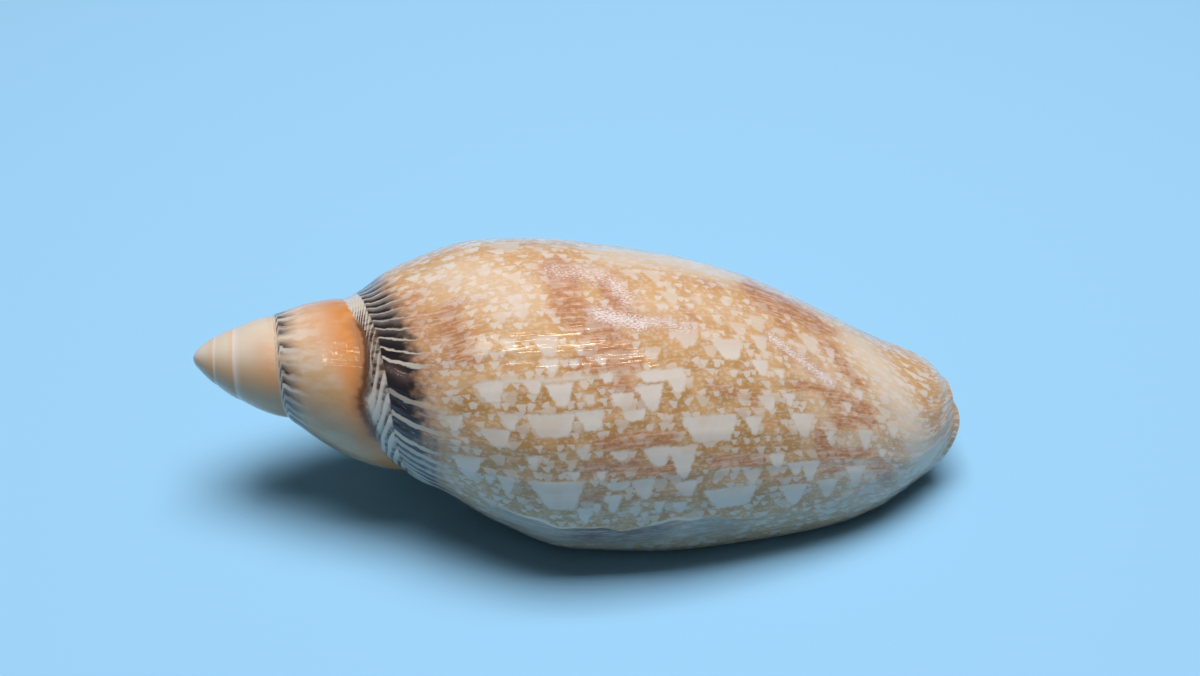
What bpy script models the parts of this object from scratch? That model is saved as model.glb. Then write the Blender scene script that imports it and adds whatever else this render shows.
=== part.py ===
"""Volute shell: one solid, lying on its aperture, axis along +X with the apex at -X.

The shell is a tube coiled round one straight axis.  Two numbers place a point of it:
    turn     how far round the coil it was laid down: 0 at the lip, -1 one whorl earlier
    station  how far along the axis it lies: 0 at the apex, 1 at the anterior end
radius_at(turn, station) is the distance from the axis and angle_at(turn, station) the angle
round it, so every surface below is a grid of those two numbers.  Lengths inside the shape
functions are fractions of the shell's length; LENGTH turns them into metres at the end.
"""
import math

import bmesh
import bpy
import numpy as np

# ---- driving dimensions ---------------------------------------------------------------
LENGTH = 0.095              # apex to anterior end, along the axis
PITCH = 9.4                 # degrees: how far the apex end is raised when the shell rests
ROLL = -1.2                 # degrees: turn about its own axis when the shell rests

# the suture, the line along which each whorl meets the one before it
GROWTH = 2.0                # the coil's growth in one turn
SUTURE_AT_LIP = 0.258       # station of the coil's suture as it reaches the lip
PLUNGE = 0.037              # extra drop of the suture in its last few millimetres
PLUNGE_TURNS = 0.07
FIRST_TURN = -5.0           # where the coil starts, in the apex
APEX_CAP = 0.0100           # how far the rounded apex stands in front of the first suture
WHORL_BULGE = 0.060         # swell of a spire whorl between its sutures, per unit of height
LAST_WHORL_BULGE = 0.105

# wall and hollow
WALL = 0.0175               # thickness of the wall and of the lip
HOLLOW_TURNS = 1.6          # how far round the coil the hollow runs
MOUTH_TURNS = 0.8           # the part of it that can be seen into
CANAL_TURN = -0.60          # where the wall runs into the columella at the anterior end
HOLLOW_LOW = 1.45           # deep inside, the hollow's two ends as multiples of the suture
HOLLOW_HIGH = 1.70
NARROWEST = 0.35            # least share of the space between two whorls that is hollow

# the columella, the pillar round the axis, and its four oblique folds
PILLAR = 0.036
PILLAR_TIP = 0.016          # it tapers to this at the anterior end, beside the canal
PILLAR_LENGTH = 1.20        # how far the previous whorl takes to shrink to the pillar
FOLDS = (0.585, 0.650, 0.715, 0.780)
FOLD_HEIGHT = 0.011
FOLD_WIDTH = 0.014
FOLD_SLOPE = 0.25

TIP_RISE = 0.016            # how far the rounded end of the columella stands out
# the anterior edge, from the columella's tip over the shallow siphonal notch to the lip:
# (turn, station)
EDGE = ((-1, 0.960), (-0.70, 0.960), (-0.60, 0.962), (-0.50, 0.974), (-0.40, 0.985),
        (-0.33, 0.984), (-0.27, 0.986), (-0.20, 0.996), (-0.14, 0.999), (-0.07, 0.995),
        (0, 0.985))

# outlines: (fraction of the way from the suture to the anterior end, radius)
LIP_OUTLINE = ((0, 0.117), (0.092, 0.147), (0.183, 0.182), (0.30, 0.206), (0.45, 0.201),
               (0.63, 0.178), (0.78, 0.150), (0.87, 0.122), (0.94, 0.084), (1, 0.044))
BACK_OUTLINE = ((0, 0.097), (0.086, 0.146), (0.195, 0.185), (0.33, 0.197), (0.485, 0.193),
                (0.60, 0.180), (0.71, 0.154), (0.80, 0.127), (0.86, 0.110), (0.92, 0.098),
                (0.96, 0.084), (1, 0.052))
UNDER_OUTLINE = ((0, 0.082), (0.10, 0.130), (0.20, 0.170), (0.31, 0.188), (0.42, 0.178),
                 (0.53, 0.152), (0.63, 0.122), (0.73, 0.098), (0.82, 0.082), (0.90, 0.074),
                 (0.96, 0.066), (1, 0.045))
# the lip's angle round the axis: 0 points to the front, 90 up, -90 down
LIP_ANGLES = ((0.0, -58), (0.295, -58), (0.36, -53), (0.44, -50), (0.52, -46), (0.60, -41.5),
              (0.70, -38), (0.80, -36), (0.87, -37), (0.91, -41), (0.935, -43), (0.955, -40),
              (0.975, -28), (0.99, -12), (1, 0))

# mesh
COLUMNS = 40                # columns of points in each turn
DEEP_COLUMNS = 8            # columns of the part of the hollow that can't be seen
WHORL_ROWS = 6              # rows between one suture and the next
LOWER_ROWS = 30             # rows from there to the anterior end
CORNER_ROWS = 2             # rows of the lip, next to the suture, that have no hollow behind
EDGE_ROWS = 2               # points across the rounded lip, besides its two ends
TIP_RINGS = 2
WELD = 1e-7


# ---- small helpers --------------------------------------------------------------------
def smooth(x):
    """0 below 0, 1 above 1, with an even slope between."""
    x = np.clip(x, 0.0, 1.0)
    return x * x * (3.0 - 2.0 * x)


def rounded(x):
    """Quarter circle: 0 at 0, 1 from 1 on, upright at its start."""
    return np.sqrt(1.0 - (1.0 - np.clip(x, 0.0, 1.0)) ** 2)


def curve(points, x):
    """Smooth curve through the points that never overshoots them."""
    px, py = (np.array(column, float) for column in zip(*points))
    step = np.diff(px)
    slope = np.diff(py) / step
    turned = slope[:-1] * slope[1:] <= 0
    with np.errstate(divide="ignore", invalid="ignore"):
        inner = 2.0 / (1.0 / slope[:-1] + 1.0 / slope[1:])
    tangent = np.concatenate(([slope[0]], np.where(turned, 0.0, inner), [slope[-1]]))
    x = np.clip(x, px[0], px[-1])
    i = np.clip(np.searchsorted(px, x, side="right") - 1, 0, len(step) - 1)
    u = (x - px[i]) / step[i]
    rise = step[i] * ((u ** 3 - 2 * u ** 2 + u) * tangent[i] + (u ** 3 - u ** 2) * tangent[i + 1])
    return py[i] + (3 * u ** 2 - 2 * u ** 3) * (py[i + 1] - py[i]) + rise


# ---- the coil -------------------------------------------------------------------------
def suture(turn):
    """Station of the suture at this turn."""
    return SUTURE_AT_LIP * GROWTH ** turn + PLUNGE * np.exp(np.minimum(turn, 0.0) / PLUNGE_TURNS)


def suture_radius(station):
    """Distance of the suture from the axis; it is cut deeper where the last whorl but one
    begins to swell."""
    even = 0.112 * ((np.maximum(station, 0.0) + 0.002) / 0.252) ** 0.60
    return even * (1.0 - 0.11 * np.exp(-((station - 0.128) / 0.018) ** 2))


def angle_at(turn, station):
    """Degrees round the axis, 0 to the front and 90 up; the shell coils to the right."""
    return curve(LIP_ANGLES, station) - 360.0 * turn


def whorl_radius(turn, station):
    """A spire whorl down to its next suture, then on inwards to the columella's pillar."""
    top, bottom = suture(turn), suture(turn + 1.0)
    v = (station - top) / (bottom - top)
    swell = WHORL_BULGE + (LAST_WHORL_BULGE - WHORL_BULGE) * smooth((turn + 1.6) / 0.5)
    bulge = swell * (bottom - top) * 4.0 * v * (1.0 - v) * (0.8 + 0.4 * v)
    outside = suture_radius(top) + v * (suture_radius(bottom) - suture_radius(top)) + bulge
    inward = np.clip((station - bottom) / (PILLAR_LENGTH * bottom), 0.0, 1.0)
    pillar = PILLAR + (PILLAR_TIP - PILLAR) * smooth((station - 0.80) / 0.20)
    pillar = pillar * GROWTH ** (0.5 * np.minimum(turn + 1.4, 0.0))
    inside = pillar + (suture_radius(bottom) - pillar) * (1.0 - inward ** 2) ** 2
    return np.where(v < 1.0, outside, inside)


def folds(turn, station):
    """The columella's folds: oblique cords that fade out before the outside is reached."""
    shown = smooth((turn + 1.55) / 0.15) * smooth((-0.86 - turn) / 0.07)
    height = sum(np.exp(-((station - fold - FOLD_SLOPE * (turn + 1.0)) / FOLD_WIDTH) ** 2)
                 for fold in FOLDS)
    return FOLD_HEIGHT * shown * height


def radius_at(turn, station):
    """Distance from the axis to the outside of the shell."""
    turn, station = np.broadcast_arrays(np.asarray(turn, float), np.asarray(station, float))
    top = suture(turn)
    s = (station - top) / (1.0 - top)
    under = curve(UNDER_OUTLINE, s)
    back = curve(BACK_OUTLINE, s)
    front = curve(LIP_OUTLINE, s)
    last = under + (back - under) * smooth((turn + 0.75) / 0.25)
    last = last + (front - last) * smooth((turn + 0.50) / 0.50)
    last = last + (suture_radius(top) - last) * np.clip(1.0 - s / 0.06, 0.0, 1.0) ** 2
    early = whorl_radius(turn, station)
    return early + (last - early) * smooth((turn + 1.0) / 0.26) + folds(turn, station)


def place(turn, station, radius):
    """Points in metres, in the shell's own axes: X along the axis, Z up."""
    turn, station, radius = np.broadcast_arrays(turn, station, radius)
    angle = np.radians(angle_at(turn, station))
    points = np.stack([station, -radius * np.cos(angle), radius * np.sin(angle)], axis=-1)
    return LENGTH * points


def outside(turn, station):
    return place(turn, station, radius_at(turn, station))


def edge(turn):
    """Station of the anterior edge at each turn of the last whorl."""
    return curve(EDGE, turn)


# ---- the mesh -------------------------------------------------------------------------
class Skin:
    """Collects points and faces; points that fall together are welded at the end."""

    def __init__(self):
        self.points = []
        self.faces = []

    def add(self, points):
        """Adds points of any grid shape and returns their numbers in the same shape."""
        first = sum(len(block) for block in self.points)
        self.points.append(points.reshape(-1, 3))
        return first + np.arange(points[..., 0].size).reshape(points.shape[:-1])

    def quads(self, grid):
        """Faces between the neighbours of a grid of point numbers."""
        a, b, c, d = grid[:-1, :-1], grid[1:, :-1], grid[1:, 1:], grid[:-1, 1:]
        self.faces += np.stack([a, b, c, d], axis=-1).reshape(-1, 4).tolist()

    def split_quads(self, grid):
        """Triangles in place of quads, cut towards the two corners where the grid starts."""
        half = grid.shape[1] // 2
        a, b, c, d = grid[:-1, :-1], grid[1:, :-1], grid[1:, 1:], grid[:-1, 1:]
        for near, far in ((np.s_[:, :half], (a, b, c, d)), (np.s_[:, half:], (b, c, d, a))):
            p, q, r, s = (corner[near] for corner in far)
            self.faces += np.stack([p, q, r], axis=-1).reshape(-1, 3).tolist()
            self.faces += np.stack([p, r, s], axis=-1).reshape(-1, 3).tolist()

    def zip(self, left, right, left_at, right_at):
        """Triangles between two lines of points, matched by how far along each point is."""
        i = j = 0
        while i + 1 < len(left) or j + 1 < len(right):
            step_left = j + 1 == len(right) or (
                i + 1 < len(left) and left_at[i + 1] <= right_at[j + 1])
            if step_left:
                self.faces.append([left[i], left[i + 1], right[j]])
                i += 1
            else:
                self.faces.append([left[i], right[j + 1], right[j]])
                j += 1

    def fan(self, loop, centre):
        for a, b in zip(loop, loop[1:] + loop[:1]):
            self.faces.append([a, b, centre])

    def welded(self):
        """Points and faces with coincident points merged and collapsed faces dropped."""
        points = np.concatenate(self.points)
        keys = np.round(points / WELD).astype(np.int64)
        _, keep, number = np.unique(keys, axis=0, return_index=True, return_inverse=True)
        number = number.reshape(-1)
        faces = []
        for face in self.faces:
            ring = [int(number[i]) for i in face]
            ring = [p for k, p in enumerate(ring) if p != ring[k - 1]]
            if len(set(ring)) > 2:
                faces.append(ring)
        return points[keep], faces


def spire(skin):
    """Whorls from the apex to one turn before the lip, with a rounded cap on the apex."""
    columns = int(round((-1.0 - FIRST_TURN) * COLUMNS))
    turns = np.linspace(FIRST_TURN, -1.0, columns + 1)[:, None]
    v = np.linspace(0.0, 1.0, WHORL_ROWS + 1)[None, :]
    stations = suture(turns) + v * (suture(turns + 1.0) - suture(turns))
    grid = skin.add(outside(turns, stations))
    skin.quads(grid)
    tip = skin.add(np.array([[LENGTH * (suture(FIRST_TURN) - APEX_CAP), 0.0, 0.0]]))[0]
    skin.fan(grid[:COLUMNS + 1, 0].tolist() + grid[0, WHORL_ROWS - 1:0:-1].tolist(), tip)


def last_whorl(skin):
    """The outside of the last whorl, from the suture to the anterior edge."""
    turns = np.linspace(-1.0, 0.0, COLUMNS + 1)[:, None]
    top, join, bottom = suture(turns), suture(turns + 1.0), edge(turns)
    v = np.linspace(0.0, 1.0, WHORL_ROWS + 1)[None, :]
    w = np.linspace(0.0, 1.0, LOWER_ROWS + 1)[None, 1:]
    stations = np.concatenate([top + v * (join - top), join + w * (bottom - join)], axis=1)
    grid = skin.add(outside(turns, stations))
    skin.quads(grid)
    return grid, turns[:, 0], stations


def hollow(skin, turns, start):
    """The hollow: the wall's inner side and, facing it, the whorl before and the columella.

    start holds the stations of its points at the mouth.  The two sheets share their edge
    wherever the hollow closes, and part at the lip and along the anterior edge."""
    turns = turns[:, None]
    w = ((start - start[0]) / (start[-1] - start[0]))[None, :]
    deep = smooth((CANAL_TURN - turns) / (MOUTH_TURNS + CANAL_TURN))
    at_mouth = start[0] / suture(0.0)
    low = suture(turns) * (at_mouth + (HOLLOW_LOW - at_mouth) * smooth(-turns - 0.1))
    high = EDGE[0][1] + (HOLLOW_HIGH * suture(turns + 1.0) - EDGE[0][1]) * deep
    facing = low + w * (high - low)
    wall = facing + (edge(turns) - high) * smooth((turns - CANAL_TURN) / 0.15) * w ** 6
    pillar = radius_at(turns - 1.0, facing)
    before = radius_at(turns - 1.0, wall)
    space = radius_at(turns, wall) - before
    thickness = WALL * GROWTH ** (0.5 * np.minimum(turns + MOUTH_TURNS, 0.0))
    depth = rounded((turns + HOLLOW_TURNS) / 0.2) * rounded(w / 0.12)
    depth = depth * rounded((1.0 - w) / 0.2 + np.maximum(turns - CANAL_TURN, 0.0) / 0.15)
    inner = before + depth * np.maximum(space - thickness, NARROWEST * space)
    inner = np.where(depth > 1e-6, inner, pillar)
    facing_grid = skin.add(place(turns - 1.0, facing, pillar))
    inner_grid = skin.add(place(turns, wall, inner))
    skin.split_quads(facing_grid)
    skin.split_quads(inner_grid)
    return facing_grid, inner_grid, wall[-1]


def rounded_edge(skin, inner, outer_points, inner_at, outer, outer_at):
    """Rounds the wall's free edge, from the suture down the lip and on to the columella.

    inner and outer are the edge's two lines of point numbers; outer_points are the places
    on the outer line across from each point of the inner one."""
    points = np.concatenate(skin.points)
    inner_points = points[inner]
    across = 0.5 * (outer_points - inner_points)
    middle = inner_points + across
    along = np.gradient(middle, axis=0)
    out = np.cross(along, across)
    out /= np.maximum(np.linalg.norm(out, axis=1, keepdims=True), 1e-12)
    half = np.linalg.norm(across, axis=1, keepdims=True)
    half = np.minimum(half, 0.5 * LENGTH * WALL)
    lines = []
    for k in range(EDGE_ROWS):
        beta = math.pi * (k + 1) / (EDGE_ROWS + 1)
        lines.append(skin.add(middle + math.cos(beta) * across + math.sin(beta) * half * out))
    skin.quads(np.array(lines + [inner]))
    skin.zip(outer, lines[0], outer_at, inner_at)
    return [int(line[-1]) for line in lines]


def shell_mesh():
    skin = Skin()
    spire(skin)
    body, turns, stations = last_whorl(skin)
    mouth = WHORL_ROWS + CORNER_ROWS
    seen = turns[turns >= -MOUTH_TURNS - 1e-9]
    unseen = np.linspace(-HOLLOW_TURNS, -MOUTH_TURNS, DEEP_COLUMNS + 1)[:-1]
    facing, inner, lip = hollow(skin, np.concatenate([unseen, seen]), stations[0, mouth:])

    # the free edge: down the lip, then back over the anterior end to the columella
    over = np.arange(2, 2 + int(round(-CANAL_TURN * COLUMNS)))
    past = -turns[-over]
    corner = stations[0, WHORL_ROWS:mouth]
    lip_at = np.concatenate([corner, lip])
    inner_line = np.concatenate([body[0, WHORL_ROWS:mouth], inner[-1], inner[-over, -1]])
    outer_line = np.concatenate([body[-1], body[-over, -1]])
    outer_points = np.concatenate([outside(0.0, lip_at), outside(-past, edge(-past))])
    edge_points = rounded_edge(skin, inner_line, outer_points,
                               np.concatenate([lip_at, 1.0 + past]),
                               outer_line, np.concatenate([stations[-1], 1.0 + past]))

    # the columella's tip
    tip = np.flatnonzero(turns <= CANAL_TURN + 1e-9)
    loop = body[tip, -1].tolist() + edge_points + facing[-over[-1]:-1, -1].tolist()
    rim = np.concatenate(skin.points)[loop]
    centre = rim.mean(axis=0)
    rise = np.array([TIP_RISE * LENGTH, 0.0, 0.0])
    for k in range(1, TIP_RINGS + 1):
        lean = 0.5 * math.pi * k / (TIP_RINGS + 1)
        ring = skin.add(centre + math.cos(lean) * (rim - centre) + math.sin(lean) * rise)
        skin.quads(np.array([loop + loop[:1], ring.tolist() + [ring[0]]]))
        loop = ring.tolist()
    skin.fan(loop, skin.add((centre + rise)[None])[0])
    return skin.welded()


# ---- the model ------------------------------------------------------------------------
def at_rest(points):
    """Turns the shell on to its aperture and puts the origin under the middle of its box."""
    roll, pitch = math.radians(ROLL), math.radians(PITCH)
    x, y, z = points.T
    y, z = y * math.cos(roll) - z * math.sin(roll), y * math.sin(roll) + z * math.cos(roll)
    x, z = x * math.cos(pitch) + z * math.sin(pitch), z * math.cos(pitch) - x * math.sin(pitch)
    points = np.stack([x, y, z], axis=-1)
    low, high = points.min(axis=0), points.max(axis=0)
    return points - [0.5 * (low[0] + high[0]), 0.5 * (low[1] + high[1]), low[2]]


def shell_material():
    material = bpy.data.materials.new("shell")
    material.use_nodes = True
    surface = material.node_tree.nodes["Principled BSDF"]
    surface.inputs["Base Color"].default_value = (0.52, 0.33, 0.17, 1.0)
    surface.inputs["Roughness"].default_value = 0.3
    surface.inputs["Metallic"].default_value = 0.0
    return material


def build():
    for old in list(bpy.data.objects):
        bpy.data.objects.remove(old, do_unlink=True)
    points, faces = shell_mesh()
    mesh = bpy.data.meshes.new("shell")
    mesh.from_pydata(at_rest(points).tolist(), [], faces)
    solid = bmesh.new()
    solid.from_mesh(mesh)
    bmesh.ops.recalc_face_normals(solid, faces=solid.faces)
    bmesh.ops.triangulate(solid, faces=solid.faces)
    solid.to_mesh(mesh)
    solid.free()
    mesh.shade_smooth()
    mesh.set_sharp_from_angle(angle=math.radians(50))
    mesh.materials.append(shell_material())
    bpy.context.collection.objects.link(bpy.data.objects.new("shell", mesh))


build()
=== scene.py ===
"""Volute shell, lying on its mouth: the shell in fine mesh, its tent pattern, and the stage."""
import functools
import math

import bmesh
import bpy
import numpy as np
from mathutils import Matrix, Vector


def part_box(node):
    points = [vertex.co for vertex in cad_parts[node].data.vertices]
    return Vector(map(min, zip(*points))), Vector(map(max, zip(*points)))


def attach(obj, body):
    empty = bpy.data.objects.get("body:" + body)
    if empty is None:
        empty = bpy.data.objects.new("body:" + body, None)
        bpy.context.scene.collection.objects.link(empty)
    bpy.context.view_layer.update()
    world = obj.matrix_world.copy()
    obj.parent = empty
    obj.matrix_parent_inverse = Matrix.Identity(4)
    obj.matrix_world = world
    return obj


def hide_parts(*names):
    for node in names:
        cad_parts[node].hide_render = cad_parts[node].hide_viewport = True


bl_info = {
    "name": "Volute shell",
    "version": (1, 0, 0),
    "blender": (4, 5, 0),
    "location": "3D View > Sidebar > Shell",
    "description": "Makes a right-handed volute shell with a tent pattern, and a plain studio",
    "category": "Add Mesh",
}

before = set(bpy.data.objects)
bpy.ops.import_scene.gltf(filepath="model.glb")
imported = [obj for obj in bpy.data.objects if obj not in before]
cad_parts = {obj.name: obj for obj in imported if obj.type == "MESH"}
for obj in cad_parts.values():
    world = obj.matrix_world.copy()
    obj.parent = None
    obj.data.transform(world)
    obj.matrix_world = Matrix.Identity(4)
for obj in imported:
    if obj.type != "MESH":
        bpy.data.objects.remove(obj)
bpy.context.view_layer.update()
CAD_LOW, CAD_HIGH = (np.array(corner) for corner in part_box("shell"))

LENGTH_MM = 95.0            # apex to anterior end

# ---- the coil: fractions of the shell's length, and turns --------------------------------
GROWTH = 2.0                # the coil's growth in one turn
SUTURE_AT_LIP = 0.258       # station of the coil's suture as it reaches the lip
PLUNGE = 0.037              # extra drop of the suture in its last few millimetres
PLUNGE_TURNS = 0.07
FIRST_TURN = -5.0           # where the coil starts, in the apex
APEX_CAP = 0.0100           # how far the rounded apex stands in front of the first suture
WHORL_BULGE = 0.060         # swell of a spire whorl between its sutures, per unit of height
LAST_WHORL_BULGE = 0.105
WALL = 0.0175               # thickness of the wall and of the lip
HOLLOW_TURNS = 1.6          # how far round the coil the hollow runs
MOUTH_TURNS = 0.8           # the part of it that can be seen into
CANAL_TURN = -0.60          # where the wall runs into the columella at the anterior end
CANAL_OPENS = 0.15          # turns in which it parts from the columella again
HOLLOW_LOW = 1.45           # deep inside, the hollow's two ends as multiples of the suture
HOLLOW_HIGH = 1.70
NARROWEST = 0.35            # least share of the space between two whorls that is hollow
PILLAR = 0.036              # the columella round the axis, and its tip
PILLAR_TIP = 0.016
PILLAR_LENGTH = 1.20
FOLDS = (0.585, 0.650, 0.715, 0.780)
FOLD_HEIGHT = 0.011
FOLD_WIDTH = 0.014
FOLD_SLOPE = 0.25
TIP_RISE = 0.016            # how far the rounded end of the columella stands out
# the anterior edge: (turn, station)
EDGE = ((-1, 0.96), (-0.7, 0.96), (-0.6, 0.962), (-0.5, 0.974), (-0.4, 0.985), (-0.33, 0.984),
    (-0.27, 0.986), (-0.2, 0.996), (-0.14, 0.999), (-0.07, 0.995), (0, 0.985))
# outlines: (fraction of the way from the suture to the anterior end, radius)
LIP_OUTLINE = ((0, 0.117), (0.092, 0.147), (0.183, 0.182), (0.3, 0.206), (0.45, 0.201),
    (0.63, 0.178), (0.78, 0.15), (0.87, 0.122), (0.94, 0.084), (1, 0.044))
BACK_OUTLINE = ((0, 0.097), (0.086, 0.146), (0.195, 0.185), (0.33, 0.197), (0.485, 0.193),
    (0.6, 0.18), (0.71, 0.154), (0.8, 0.127), (0.86, 0.11), (0.92, 0.098), (0.96, 0.084),
    (1, 0.052))
UNDER_OUTLINE = ((0, 0.082), (0.1, 0.13), (0.2, 0.17), (0.31, 0.188), (0.42, 0.178),
    (0.53, 0.152), (0.63, 0.122), (0.73, 0.098), (0.82, 0.082), (0.9, 0.074), (0.96, 0.066),
    (1, 0.045))
# the lip's angle round the axis: 0 points to the front, 90 up, -90 down
LIP_ANGLES = ((0, -58), (0.295, -58), (0.36, -53), (0.44, -50), (0.52, -46), (0.6, -41.5),
    (0.7, -38), (0.8, -36), (0.87, -37), (0.91, -41), (0.935, -43), (0.955, -40), (0.975, -28),
    (0.99, -12), (1, 0))
PITCH = 9.4                 # degrees: how the shell lies
ROLL = -1.2

# ---- what grew on it ---------------------------------------------------------------------
TURN_MM = 110.0             # growth in one turn of the last whorl, round its widest part
# the last growth ridge, behind the smooth band along the lip: (station, turn)
RIDGE = ((0.28, -0.125), (0.4, -0.112), (0.5, -0.097), (0.57, -0.09), (0.62, -0.1),
    (0.71, -0.085), (0.81, -0.082), (0.845, -0.1), (0.9, -0.14), (0.96, -0.172), (0.975, -0.19),
    (1, -0.25))
RIDGE_RISE = 0.16           # its height, and how much lower the band lies, in mm
BAND_DROP = 0.12
REST_LINE = -0.265          # turn of an older line where growth stood still for a while
CRIMPS_A_TURN = 71.0        # crimps of the suture's edge in a turn, as it reaches the lip
# width of the crimped callus, in mm: (turn, width)
CALLUS = ((-0.75, 1.3), (-0.5, 1.3), (-0.44, 1.45), (-0.4, 1.65), (-0.36, 2.1), (-0.32, 2.4),
    (-0.28, 2.7), (-0.24, 2.85), (-0.18, 2.75), (0, 3.2))
THREAD_MM = 1.1             # its width where it is only a thread, on the spire
CALLUS_RISE = 0.10          # heights of the callus, its crimps and its broad folds, as
CRIMP_RISE = 0.026          # shares of its width
FOLD_RISE = 0.020
LINES_MM = 0.033            # depth of the finest growth lines
DASH_MM = 4.7               # length of the dark dashes beside it
LEAN_OF_CRIMPS = 0.105      # turns that a crimp runs on towards the lip, inside the callus
MERGED = (-0.286, -0.269, -0.236, -0.203)   # turns where two dashes have run together
# where the callus ends on the whorl before it: (turn, mm past the suture)
LAP = ((-1, 0), (-0.9, 0.3), (-0.8, -0.3), (-0.7, 0.2), (-0.6, -0.3), (-0.5, -0.5),
    (-0.43, -0.3), (-0.39, 0.2), (-0.34, 0.9), (-0.31, 0.8), (-0.28, 0.5), (-0.25, 0.1),
    (-0.225, -0.6), (-0.2, -0.5), (-0.16, 0), (-0.08, 0.3), (0, 0))

# the larger tents of the side that faces up, in mm: place along the axis and in growth of
# the middle of the straight side, width and height
TENTS = ((33.5, -34, 1.9, 1.8), (36.1, -34.1, 2.2, 1.6), (40.3, -34, 3.3, 2.3),
    (41, -31.4, 2.3, 1.5), (37.3, -38, 2.3, 2), (35, -37.3, 2, 1.4), (34.5, -29.2, 3.6, 2.3),
    (39.3, -29.1, 2.2, 1.4), (42.2, -28.8, 3.4, 2.5), (45.7, -27.4, 1.6, 1.2),
    (53.8, -29.3, 5.6, 1.3), (55.6, -28.6, 2.8, 2.1), (52.5, -27.7, 3.5, 2.8),
    (56.4, -33.8, 3.6, 2), (53, -42.7, 2.3, 2.2), (46.3, -43.2, 2.3, 2), (45.2, -37, 1.6, 0.9),
    (43.6, -31.2, 1.4, 0.9), (46.8, -31.2, 1.5, 1), (47.5, -29.5, 1.8, 1.1),
    (49.5, -27.2, 3, 1.6), (50, -43, 2.3, 1.2), (32.9, -44.8, 2.1, 1.8), (54.9, -39, 2.1, 2),
    (58.3, -38.6, 1.3, 1.5), (41.6, -25.6, 5.8, 2.5), (46, -25.7, 3.7, 2.2),
    (37, -25.6, 2.5, 1.9), (35.7, -23.8, 3.6, 2.1), (30.9, -25.5, 2.4, 2.2),
    (32.9, -19.7, 3.6, 3.8), (35.8, -17.6, 1.4, 1.7), (37.7, -17.8, 2.3, 2.8),
    (43.3, -17.9, 6.6, 3.9), (47.2, -14, 2.2, 2.9), (40.3, -20.9, 1.7, 1.8),
    (45.6, -21.8, 1.6, 1.5), (45.1, -19.1, 1.6, 1.4), (48.2, -18.8, 1.4, 1.3),
    (50, -21, 2.3, 1.1), (51, -25.3, 3, 1.2), (54.3, -20.9, 3.5, 2.3), (57.2, -20.7, 3.7, 4),
    (50.3, -17.3, 3, 1.1), (53.3, -17.2, 3, 2.8), (50.1, -15.6, 2.4, 2.7),
    (48.4, -14.6, 1.4, 1.7), (52.9, -13.6, 1.8, 1.7), (55.7, -14, 1.5, 2.1),
    (58.3, -16.4, 3, 2.1), (58.1, -13.6, 2, 1.8), (54.3, -12.6, 1.1, 1.7), (59.9, -23.9, 7, 3),
    (61.5, -32.8, 4.3, 2.6), (63, -35.2, 2.4, 1.9), (65.6, -36.5, 2.5, 2.3),
    (65.7, -33.7, 2.4, 2.2), (72.3, -35.4, 2.9, 2.9), (75.2, -34.3, 1.8, 2.2),
    (65.7, -30.4, 2.5, 2), (68.3, -29.4, 1.5, 1.3), (79, -28.2, 1.5, 1.7),
    (74.4, -29.8, 1.7, 1.3), (66.8, -26, 2.5, 1.8), (69.6, -26.4, 1.8, 1.7),
    (71.5, -23.9, 3.3, 3.2), (65.3, -23.6, 2.3, 2.3), (66.2, -17, 2.3, 2.4),
    (63.9, -14.8, 6.6, 3.1), (71.9, -14, 3.7, 3.6), (76.2, -14.3, 2.9, 3.3),
    (79.7, -16.2, 2.9, 4), (80.2, -22, 2.3, 3.2), (75.4, -21.6, 1.4, 2), (68.9, -18.8, 2.3, 2.2),
    (73.4, -17.4, 2.6, 3.2), (71.4, -17.4, 2.3, 1.8), (77.4, -25.9, 1.6, 1.5),
    (84, -23.8, 2.1, 2.6), (83, -19, 1.4, 1.6))
TENTS_ROUND = (28.0, 88.0, -46.5, -9.0)     # the part of the shell that the list covers
TENT_SEED = 41
TENT_THROWS = 4200          # tries to place another elsewhere
TENT_GAP = 0.35             # least mm between two
FAR = 9.0                   # mm or lengths past which a distance no longer matters
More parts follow.
